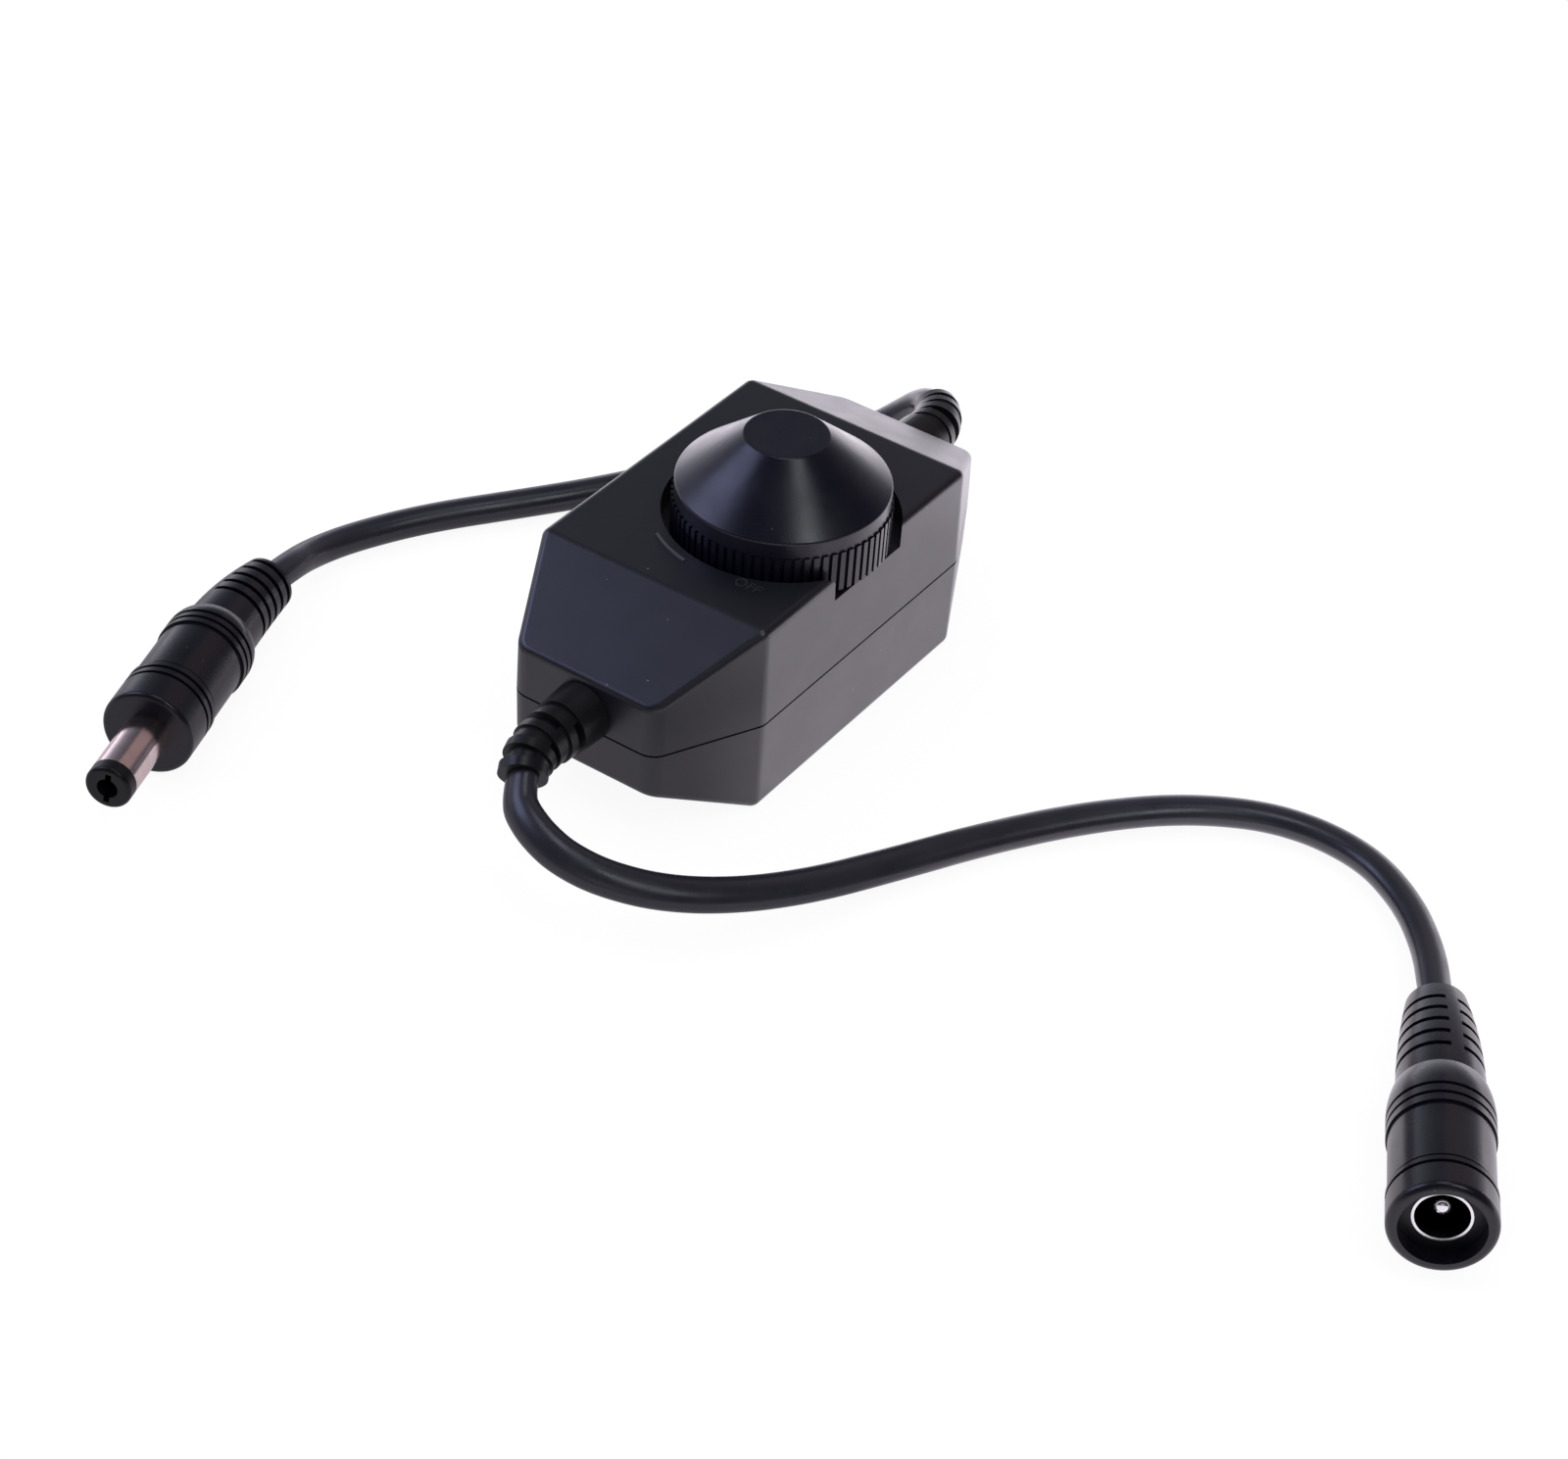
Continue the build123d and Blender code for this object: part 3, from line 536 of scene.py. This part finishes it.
BRASS: Colour = (0.78, 0.58, 0.27)
WORN_BRASS: Colour = (0.6, 0.42, 0.18)
BRASS_GLOSS: Pair = (0.2, 0.34)
NICKEL_PLATE = MetalFinish(
    name="nickel_plate",
    colour=(0.9, 0.9, 0.91),
    worn=(0.78, 0.78, 0.79),
    gloss=(0.12, 0.22),
)
# Nickel plating; its pink tint is a painted reflection of warm surroundings.
BARREL_PLATE_PAINTED_REFLECTION = MetalFinish(
    name="barrel_plate_painted_reflection",
    colour=(0.95, 0.78, 0.76),
    worn=(0.86, 0.69, 0.67),
    gloss=(0.14, 0.22),
)
# Its colour carries painted shade inside the jack's opening.
SLEEVE_PLATE = MetalFinish(
    name="sleeve_plate",
    colour=(0.92, 0.92, 0.93),
    worn=(0.84, 0.84, 0.85),
    gloss=(0.12, 0.22),
    mouth_shade=JACK_MOUTH_SHADE,
)
ZINC_PLATE = MetalFinish(
    name="zinc_plate",
    colour=(0.6, 0.6, 0.6),
    worn=(0.45, 0.45, 0.46),
    gloss=(0.22, 0.36),
)
SPRING_BRASS = MetalFinish(name="spring_brass", colour=BRASS, worn=WORN_BRASS, gloss=BRASS_GLOSS)
# Its colour carries painted shade inside the plug's tip.
CONTACT_BRASS = MetalFinish(
    name="contact_brass",
    colour=BRASS,
    worn=WORN_BRASS,
    gloss=BRASS_GLOSS,
    mouth_shade=PLUG_MOUTH_SHADE,
)
DRAWN_ALUMINIUM = MetalFinish(
    name="drawn_aluminium",
    colour=(0.75, 0.75, 0.77),
    worn=(0.62, 0.62, 0.64),
    gloss=(0.18, 0.3),
)

NODE_FINISHES: dict[Finish, tuple[str, ...]] = {
    CASE_PLASTIC: ("top_shell", "bottom_shell"),
    KNOB_PLASTIC: ("knob",),
    GLAND_RUBBER: ("input_gland", "output_gland"),
    GRIP_RUBBER: ("jack_overmould", "plug_overmould"),
    CORD_SHEATH: ("input_cable", "output_cable"),
    CONNECTOR_INSERT: ("jack_insert", "plug_insulator"),
    NICKEL_PLATE: ("jack_pin",),
    SLEEVE_PLATE: ("jack_sleeve",),
    BARREL_PLATE_PAINTED_REFLECTION: ("plug_barrel",),
    ZINC_PLATE: ("case_screws", "pot_cover"),
    SPRING_BRASS: ("pot_wiper", "pot_pins"),
    CONTACT_BRASS: ("plug_contact",),
    DRAWN_ALUMINIUM: ("pot_shaft", "capacitor"),
    BOARD_LAMINATE: ("circuit_board",),
    TRACK_LAMINATE: ("pot_base",),
    CHIP_EPOXY: ("mosfet", "timer_chip", "diode", "resistors"),
    RED_LEAD: ("input_positive_lead", "output_positive_lead"),
    BLACK_LEAD: ("input_negative_lead", "output_negative_lead"),
}


class FinishShelf:
    """Every finish's material, made once."""

    def __init__(self) -> None:
        """Starts with an empty shelf."""
        self._made: dict[str, bpy.types.Material] = {}

    def take(self, finish: Finish) -> bpy.types.Material:
        """Gives a finish's material.

        Args:
            finish: The finish.

        Returns:
            Its material.
        """
        if finish.name not in self._made:
            self._made[finish.name] = finish.make()
        return self._made[finish.name]

    def dress(self, piece: bpy.types.Object, finish: Finish) -> None:
        """Gives a piece one finish all over."""
        piece.data.materials.clear()
        piece.data.materials.append(self.take(finish))


def deselect_all() -> None:
    """Leaves edit mode and selects nothing."""
    if bpy.context.object and bpy.context.object.mode != "OBJECT":
        bpy.ops.object.mode_set(mode="OBJECT")
    bpy.ops.object.select_all(action="DESELECT")


def apply_place() -> None:
    """Moves the active object's place, turn and size into its mesh."""
    bpy.ops.object.transform_apply(location=True, rotation=True, scale=True)


@dataclass
class Cord:
    """A two-core cord with an oval sheath that twists along its way.

    Attributes:
        name: The piece's name.
        node: The node that it stands for.
        route: Control points of its middle line.
        far_end: What is on its far end; not used.
        far_pieces: The nodes of the connector there; not used.
        gland: The gland that it leaves the case through; not used.
        rolls: Turn of the oval's wide side from level at the start and at the end, in degrees.
        width: Width of the sheath.
        thickness: Thickness of the sheath.
        sides: Points round the sheath.
        order: Order of the smooth line through the route.
        fineness: Steps of that line from one control point to the next.
    """

    name: str
    node: str
    route: list[Point]
    far_end: FarEnd
    far_pieces: list[str]
    gland: str
    rolls: Pair
    width: float = 4.3 * MM
    thickness: float = 3.35 * MM
    sides: int = 32
    order: int = 3
    fineness: int = 16

    def build(self, shelf: FinishShelf) -> bpy.types.Object:
        """Args:
            shelf: The finishes.

        Returns:
            The sheath.
        """
        path = self._smooth_line()
        mesh = bpy.data.meshes.new(self.name)
        mesh.from_pydata(*self._skin(path))
        mesh.validate()
        sheath = bpy.data.objects.new(self.name, mesh)
        bpy.context.scene.collection.objects.link(sheath)
        deselect_all()
        sheath.select_set(True)
        bpy.context.view_layer.objects.active = sheath
        bpy.ops.object.shade_smooth()
        shelf.dress(sheath, CORD_SHEATH)
        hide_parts(self.node)
        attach(sheath, CASE_BODY)
        return sheath

    def _smooth_line(self) -> list[Vector]:
        """Points of the route's NURBS line.

        Returns:
            The points, from the gland to the connector.
        """
        curve = bpy.data.curves.new(f"{self.name}_route", "CURVE")
        curve.dimensions = "3D"
        curve.resolution_u = self.fineness
        spline = curve.splines.new("NURBS")
        spline.points.add(len(self.route) - 1)
        for point, place in zip(spline.points, self.route):
            point.co = (*place, 1.0)
        spline.order_u = self.order
        spline.use_endpoint_u = True
        holder = bpy.data.objects.new(f"{self.name}_route", curve)
        bpy.context.scene.collection.objects.link(holder)
        bpy.context.view_layer.update()
        line = bpy.data.meshes.new_from_object(holder)
        points = [vertex.co.copy() for vertex in line.vertices]
        bpy.data.objects.remove(holder)
        bpy.data.curves.remove(curve)
        bpy.data.meshes.remove(line)
        return points

    def _skin(self, path: list[Vector]) -> Skin:
        """Vertices, edges and faces of the closed oval tube.

        Args:
            path: Points of its middle line.

        Returns:
            The vertices, no loose edges, and the faces.
        """
        points: list[Vector] = []
        faces: list[tuple[int, ...]] = []
        last = len(path) - 1
        for ring, place in enumerate(path):
            before, after = path[max(ring - 1, 0)], path[min(ring + 1, last)]
            wide, thin = self._oval_axes(before, after, ring / last)
            for side in range(self.sides):
                angle = 2 * math.pi * side / self.sides
                points.append(place + wide * math.cos(angle) + thin * math.sin(angle))
        for ring in range(last):
            for side in range(self.sides):
                here = ring * self.sides + side
                beside = ring * self.sides + (side + 1) % self.sides
                faces.append((here, here + self.sides, beside + self.sides, beside))
        faces.append(tuple(range(self.sides)))
        faces.append(tuple(last * self.sides + side for side in reversed(range(self.sides))))
        return points, [], faces

    def _oval_axes(self, before: Vector, after: Vector, share: float) -> tuple[Vector, Vector]:
        """Half axes of the oval at one point of the way.

        Args:
            before: The point before it.
            after: The point after it.
            share: How far along the cord it is, from 0 to 1.

        Returns:
            The half axis of the wide side and that of the thin side.
        """
        ahead = (after - before).normalized()
        level = ahead.cross(UP).normalized()
        upright = level.cross(ahead)
        roll = math.radians(self.rolls[0] + share * (self.rolls[1] - self.rolls[0]))
        wide = level * math.cos(roll) + upright * math.sin(roll)
        thin = upright * math.cos(roll) - level * math.sin(roll)
        return wide * (self.width / 2), thin * (self.thickness / 2)


@dataclass
class LevelMark:
    """The raised arc beside the knob and the word at its low end, moulded on the top plate.

    Attributes:
        centre: The knob's axis.
        plate: Height of the top plate.
        radius: Radius of the arc.
        start: Where the arc starts, in degrees.
        sweep: How far it runs, in degrees.
        steps: Straight stretches along it.
        width: Width of the arc.
        height: Height of the arc's section.
        sunk: How much of that height lies in the plate.
        merge: Distance within which its corners become one.
        word: The word.
        word_place: Middle of the word.
        word_size: Height of the word's letters.
        word_proud: How far the letters stand out.
        word_turn: Turn of the word, in degrees.
    """

    centre: Pair
    plate: float
    radius: float = 15.4 * MM
    start: float = 147.0
    sweep: float = 22.0
    steps: int = 24
    width: float = 0.35 * MM
    height: float = 0.18 * MM
    sunk: float = 0.03 * MM
    merge: float = 1e-7
    word: str = "OFF"
    word_place: Pair = (-14.5 * MM, -9.0 * MM)
    word_size: float = 2.0 * MM
    word_proud: float = 0.12 * MM
    word_turn: float = -90.0

    def build(self, shelf: FinishShelf) -> list[bpy.types.Object]:
        """Makes the arc and the word.

        Args:
            shelf: The finishes.

        Returns:
            Both pieces.
        """
        # Both are coloured lighter than the plate, as a painted highlight.
        marks = {MARK_PAINTED_HIGHLIGHT: self._arc(), WORD_PAINTED_HIGHLIGHT: self._letters()}
        for finish, piece in marks.items():
            shelf.dress(piece, finish)
            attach(piece, CASE_BODY)
            LOG.info("%s in %s", piece.name, finish.name)
        return list(marks.values())

    def _arc(self) -> bpy.types.Object:
        """A narrow ridge spun round the knob's axis.

        Returns:
            The ridge.
        """
        deselect_all()
        begin = math.radians(self.start)
        place = Vector((*self.centre, self.plate - self.sunk + self.height / 2))
        place += Vector((math.cos(begin), math.sin(begin), 0)) * self.radius
        bpy.ops.mesh.primitive_plane_add(size=1.0, location=place, rotation=(math.pi / 2, 0, begin))
        ridge = bpy.context.object
        ridge.name = "level_arc"
        ridge.scale = (self.width, self.height, 1.0)
        apply_place()
        bpy.ops.object.mode_set(mode="EDIT")
        bpy.ops.mesh.select_all(action="SELECT")
        bpy.ops.mesh.spin(
            steps=self.steps,
            angle=math.radians(self.sweep),
            center=(*self.centre, self.plate),
            axis=(0, 0, -1),
        )
        bpy.ops.mesh.select_all(action="SELECT")
        bpy.ops.mesh.remove_doubles(threshold=self.merge)
        bpy.ops.mesh.normals_make_consistent(inside=False)
        bpy.ops.object.mode_set(mode="OBJECT")
        return ridge

    def _letters(self) -> bpy.types.Object:
        """The low-end word in raised letters.

        Returns:
            The letters.
        """
        deselect_all()
        bpy.ops.object.text_add(location=(0, 0, 0))
        letters = bpy.context.object
        letters.name = "off_word"
        letters.data.body = self.word
        letters.data.size = self.word_size
        letters.data.align_x = "CENTER"
        letters.data.align_y = "CENTER"
        letters.data.extrude = self.word_proud
        bpy.ops.object.convert(target="MESH")
        letters = bpy.context.object
        letters.location = (*self.word_place, self.plate)
        letters.rotation_euler = (0, 0, math.radians(self.word_turn))
        apply_place()
        return letters


@dataclass
class PhotoCamera:
    """The camera that saw the dimmer.

    Attributes:
        azimuth: Its bearing round the object, in degrees.
        elevation: Its height angle, in degrees.
        roll: Its turn about its own axis, in degrees.
        distance: From the object's origin, along its axis.
        aside: How far the origin lies to its right.
        above: How far the origin lies above its axis.
        focal_pixels: Focal length in pixels of the frame.
        frame_width: Width of the frame in pixels.
        sensor: Width of the sensor in millimetres.
        clip: Nearest and furthest distance that it sees.
    """

    azimuth: float = -57.711
    elevation: float = 38.901
    roll: float = 4.202
    distance: float = 424.441 * MM
    aside: float = -4.587 * MM
    above: float = 7.032 * MM
    focal_pixels: float = 3590.594
    frame_width: float = 1600.0
    sensor: float = 36.0
    clip: Pair = (0.01, 50.0)

    def build(self) -> bpy.types.Object:
        """Adds the camera and makes it the scene's own.

        Returns:
            The camera.
        """
        bearing = math.radians(self.azimuth)
        height = math.radians(self.elevation)
        roll = math.radians(self.roll)
        level = Vector((math.cos(bearing), math.sin(bearing), 0.0))
        ground = Vector((math.sin(bearing), -math.cos(bearing), 0.0))
        back = ground * math.cos(height) + UP * math.sin(height)
        upright = back.cross(level)
        right = level * math.cos(roll) + upright * math.sin(roll)
        up = upright * math.cos(roll) - level * math.sin(roll)
        place = back * self.distance - right * self.aside - up * self.above
        data = bpy.data.cameras.new("photo_camera")
        data.sensor_fit = "HORIZONTAL"
        data.sensor_width = self.sensor
        data.lens = self.focal_pixels / self.frame_width * self.sensor
        data.clip_start, data.clip_end = self.clip
        camera = bpy.data.objects.new("photo_camera", data)
        bpy.context.scene.collection.objects.link(camera)
        turn = Matrix((right, up, back)).transposed().to_4x4()
        camera.matrix_world = Matrix.Translation(place) @ turn
        bpy.context.scene.camera = camera
        return camera


@dataclass(frozen=True)
class Softbox:
    """A soft lamp with a rectangular face that looks at the object.

    Attributes:
        name: Its name.
        towards: Direction from the object to the lamp.
        distance: How far away it is.
        size: Its width and height.
        watts: Its power.
        colour: Its colour.
    """

    name: str
    towards: Point
    distance: float
    size: Pair
    watts: float
    colour: Colour

    def build(self, aim: Vector) -> bpy.types.Object:
        """Adds the lamp.

        Args:
            aim: The point that it faces.

        Returns:
            The lamp.
        """
        data = bpy.data.lights.new(self.name, "AREA")
        data.shape = "RECTANGLE"
        data.size, data.size_y = self.size
        data.energy = self.watts
        data.color = self.colour
        lamp = bpy.data.objects.new(self.name, data)
        bpy.context.scene.collection.objects.link(lamp)
        way = Vector(self.towards).normalized()
        lamp.location = aim + way * self.distance
        lamp.rotation_euler = way.to_track_quat("Z", "Y").to_euler()
        return lamp


@dataclass(frozen=True)
class FloorMirror:
    """How bright the floor is in reflections, zone by zone.

    Attributes:
        tint: Its colour there.
        near_end: Level by the case's near end.
        by_jack: Level round the jack.
        beside: Level beside the case.
        behind: Level behind the case.
        past_end: Level past the case's far end.
        near_edge: Where the near end's zone ends and the floor beside the case starts, along X.
        end_edge: Where the floor beside the case ends and the floor past it starts, along X.
        jack_edge: Where the jack's zone ends and the near end's zone starts, along Y.
        back_edge: Where the floor beside the case ends and the floor behind it starts, along Y.
    """

    tint: Colour = (1.0, 0.935, 1.03)
    near_end: float = 0.54
    by_jack: float = 1.0
    beside: float = 1.45
    behind: float = 0.5
    past_end: float = 2.5
    near_edge: Pair = (-0.027, -0.015)
    end_edge: Pair = (0.038, 0.06)
    jack_edge: Pair = (-0.078, -0.06)
    back_edge: Pair = (0.02, 0.032)

    def level(self, net: NodeTree) -> Socket:
        """Works out the level at each place of the floor.

        Args:
            net: The floor's nodes.

        Returns:
            The level.
        """
        place = net.add("ShaderNodeTexCoord").outputs["Object"]
        across = net.add("ShaderNodeSeparateXYZ", {"Vector": place}).outputs
        near = net.spread(across["Y"], self.jack_edge, (self.by_jack, self.near_end))
        beside = net.spread(across["Y"], self.back_edge, (self.beside, self.behind))
        far = net.spread(across["X"], self.end_edge, (beside, self.past_end))
        return net.spread(across["X"], self.near_edge, (near, far))


@dataclass(frozen=True)
class Floor:
    """A wide white floor that keeps a soft shadow.

    Attributes:
        size: Its width.
        white: Its colour under the lamps.
        shadow_share: Share of its look that comes from the light on it.
        glow: Strength of the rest of its look.
        mirror: What that rest is in reflections.
    """

    size: float = 6.0
    white: Colour = (0.86, 0.86, 0.86)
    shadow_share: float = 0.15
    glow: float = 1.08
    mirror: FloorMirror = FloorMirror()

    def build(self) -> bpy.types.Object:
        """Adds the floor.

        Returns:
            The floor.
        """
        deselect_all()
        bpy.ops.mesh.primitive_plane_add(size=self.size, location=(0, 0, 0))
        floor = bpy.context.object
        floor.name = "floor"
        floor.data.materials.append(self._finish())
        return floor

    def _finish(self) -> bpy.types.Material:
        """White for the camera, glossy faces and glass, and matte for the rest of the light.

        Returns:
            The material.
        """
        material, net = start_material("floor_white")
        paths = net.add("ShaderNodeLightPath").outputs
        camera = paths[RayKind.CAMERA.value]
        seen = camera
        for kind in (RayKind.GLOSSY, RayKind.TRANSMISSION):
            seen = net.combine("MAXIMUM", seen, paths[kind.value])
        share = net.spread(seen, WHOLE, (0.0, 1.0 - self.shadow_share))
        level = net.spread(camera, WHOLE, (self.mirror.level(net), self.glow))
        tint = net.blend(self.mirror.tint, WHITE, camera)
        matte = net.add("ShaderNodeBsdfDiffuse", {"Color": self.white}).outputs["BSDF"]
        glow = net.add("ShaderNodeEmission", {"Color": tint, "Strength": level}).outputs["Emission"]
        net.end(net.add("ShaderNodeMixShader", {"Fac": share, 1: matte, 2: glow}).outputs["Shader"])
        return material


@dataclass(frozen=True)
class Surroundings:
    """Even light on every surface, and surroundings for mirrors that are bright low down on the left.

    Attributes:
        fill: Strength of the even light.
        horizon: Colour of the mirrored surroundings by height, from the horizon up.
        sides: Their strength on the right side and on the left side.
        side_span: Where the right side ends and the left side starts, along Y.
        near: Share of that strength on the near side.
        near_span: Where the near side ends and the far side starts, along X.
    """

    fill: float = 0.75
    horizon: tuple[tuple[float, Colour], ...] = (
        (0.0, (0.8, 0.82, 0.95)),
        (0.1, (0.65, 0.67, 0.8)),
        (0.35, (0.19, 0.19, 0.23)),
        (0.65, (0.08, 0.085, 0.105)),
    )
    sides: Pair = (0.3, 1.55)
    side_span: Pair = (-0.3, 0.9)
    near: float = 0.2
    near_span: Pair = (-0.5, 0.2)

    def build(self) -> bpy.types.World:
        """Makes the world and gives it to the scene.

        Returns:
            The world.
        """
        world = bpy.data.worlds.new("studio_world")
        bpy.context.scene.world = world
        world.use_nodes = True
        net = NodeTree(world.node_tree)
        towards = net.add("ShaderNodeTexCoord").outputs["Generated"]
        way = net.add("ShaderNodeSeparateXYZ", {"Vector": towards}).outputs
        side = net.spread(way["Y"], self.side_span, self.sides)
        end = net.spread(way["X"], self.near_span, (self.near, 1.0))
        feeds = {"Color": self._by_height(net, way["Z"]), "Strength": net.combine("MULTIPLY", side, end)}
        mirrored = net.add("ShaderNodeBackground", feeds).outputs["Background"]
        even = net.add("ShaderNodeBackground", {"Strength": self.fill}).outputs["Background"]
        glossy = net.add("ShaderNodeLightPath").outputs[RayKind.GLOSSY.value]
        mix = net.add("ShaderNodeMixShader", {"Fac": glossy, 1: even, 2: mirrored})
        net.end(mix.outputs["Shader"], "ShaderNodeOutputWorld")
        return world

    def _by_height(self, net: NodeTree, height: Socket) -> Socket:
        """Colour of the mirrored surroundings.

        Args:
            net: The world's nodes.
            height: How high it looks, from 0 at the horizon to 1 straight up.

        Returns:
            The colour.
        """
        ramp = net.add("ShaderNodeValToRGB", {"Fac": height})
        stops = ramp.color_ramp.elements
        for stop, (place, colour) in zip(stops, (self.horizon[0], self.horizon[-1])):
            stop.position = place
            stop.color = (*colour, 1.0)
        for place, colour in self.horizon[1:-1]:
            stops.new(place).color = (*colour, 1.0)
        return ramp.outputs["Color"]


@dataclass
class Studio:
    """White floor, soft lamps and the light from all round.

    Attributes:
        aim: The point that the lamps face.
        floor: The floor.
        surroundings: The light from all round.
        softboxes: The lamps.
    """

    aim: Point = (0.0, 0.0, 0.012)
    floor: Floor = Floor()
    surroundings: Surroundings = Surroundings()
    softboxes: tuple[Softbox, ...] = (
        Softbox("left_box", (-0.3, 0.69, 0.655), 0.7, (0.4, 0.34), 1.2, (0.57, 0.62, 1.0)),
        Softbox("high_box", (-0.146, -0.53, 0.837), 0.7, (0.16, 0.3), 0.5, (0.92, 0.95, 1.0)),
        Softbox("top_box", (0.06, 0.02, 0.99), 0.7, (0.24, 0.24), 0.4, (0.86, 0.9, 1.0)),
        Softbox("front_box", (-0.8, -0.5, 0.33), 0.9, (0.5, 0.3), 0.2, (1.0, 0.98, 0.96)),
        Softbox("warm_card", (0.8, -0.04, 0.6), 0.7, (0.5, 0.4), 0.12, (1.0, 0.7, 0.66)),
    )

    def build(self) -> None:
        """Sets up the whole stage."""
        self.floor.build()
        self.surroundings.build()
        for box in self.softboxes:
            box.build(Vector(self.aim))
        bpy.context.scene.view_settings.view_transform = "Standard"
        LOG.info("stage with %d lamps", len(self.softboxes))


INPUT_CORD = Cord(
    name="input_cord",
    node="input_cable",
    route=[
        (-0.045121, -0.001164, 0.013376),
        (-0.047548, -0.002488, 0.012211),
        (-0.0490, -0.0046, 0.0119),
        (-0.0500, -0.0075, 0.0112),
        (-0.0503, -0.0110, 0.0103),
        (-0.0490, -0.0156, 0.0090),
        (-0.0454, -0.0210, 0.0074),
        (-0.0393, -0.0261, 0.0057),
        (-0.0310, -0.0306, 0.0039),
        (-0.0210, -0.0349, 0.0025),
        (-0.0100, -0.0406, 0.0021),
        (0.0006, -0.0478, 0.0021),
        (0.0093, -0.0561, 0.0021),
        (0.0146, -0.0658, 0.0021),
        (0.0147, -0.0760, 0.0021),
        (0.0103, -0.0837, 0.0023),
        (0.0041, -0.0894, 0.0028),
        (-0.002036, -0.093163, 0.003447),
        (-0.004656, -0.094593, 0.003750),
    ],
    far_end=FarEnd.CONNECTOR,
    far_pieces=["jack_overmould", "jack_insert", "jack_sleeve", "jack_pin"],
    gland="input_gland",
    rolls=(128.0, 222.0),
)
OUTPUT_CORD = Cord(
    name="output_cord",
    node="output_cable",
    route=[
        (0.044607, 0.002957, 0.013537),
        (0.046691, 0.005029, 0.012933),
        (0.0476, 0.0076, 0.0108),
        (0.0474, 0.0102, 0.0081),
        (0.0464, 0.0129, 0.0056),
        (0.0443, 0.0160, 0.0036),
        (0.0409, 0.0195, 0.0025),
        (0.0358, 0.0235, 0.0021),
        (0.0294, 0.0274, 0.0021),
        (0.0234, 0.0306, 0.0021),
        (0.0166, 0.0345, 0.0021),
        (0.0082, 0.0403, 0.0021),
        (-0.0019, 0.0476, 0.0021),
        (-0.0107, 0.0521, 0.0021),
        (-0.0176, 0.0534, 0.0028),
        (-0.024339, 0.051851, 0.004791),
        (-0.027315, 0.051491, 0.004919),
    ],
    far_end=FarEnd.PLUG,
    far_pieces=["plug_overmould", "plug_barrel", "plug_insulator", "plug_contact"],
    gland="output_gland",
    rolls=(160.0, 150.0),
    thickness=3.7 * MM,
)


def dress_nodes(shelf: FinishShelf) -> None:
    """Gives every carried-over node its finish.

    Args:
        shelf: The finishes.
    """
    for finish, nodes in NODE_FINISHES.items():
        for node in nodes:
            shelf.dress(frame["nodes"][node], finish)
            LOG.info("%s in %s", node, finish.name)


def level_mark() -> LevelMark:
    """Sets the mark round the knob's joint, on top of the top shell.

    Returns:
        The mark, not built yet.
    """
    knob_turn = frame["joints"][0]
    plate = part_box("top_shell")[1].z
    return LevelMark(centre=tuple(knob_turn["pos_m"][:2]), plate=plate)


def main() -> None:
    """Builds the stage, the finishes, the cords and the marks in order."""
    logging.basicConfig(level=logging.INFO, format="%(name)s: %(message)s")
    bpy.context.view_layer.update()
    shelf = FinishShelf()
    PhotoCamera().build()
    Studio().build()
    dress_nodes(shelf)
    for cord in (INPUT_CORD, OUTPUT_CORD):
        cord.build(shelf)
    level_mark().build(shelf)


if __name__ == "__main__":
    main()
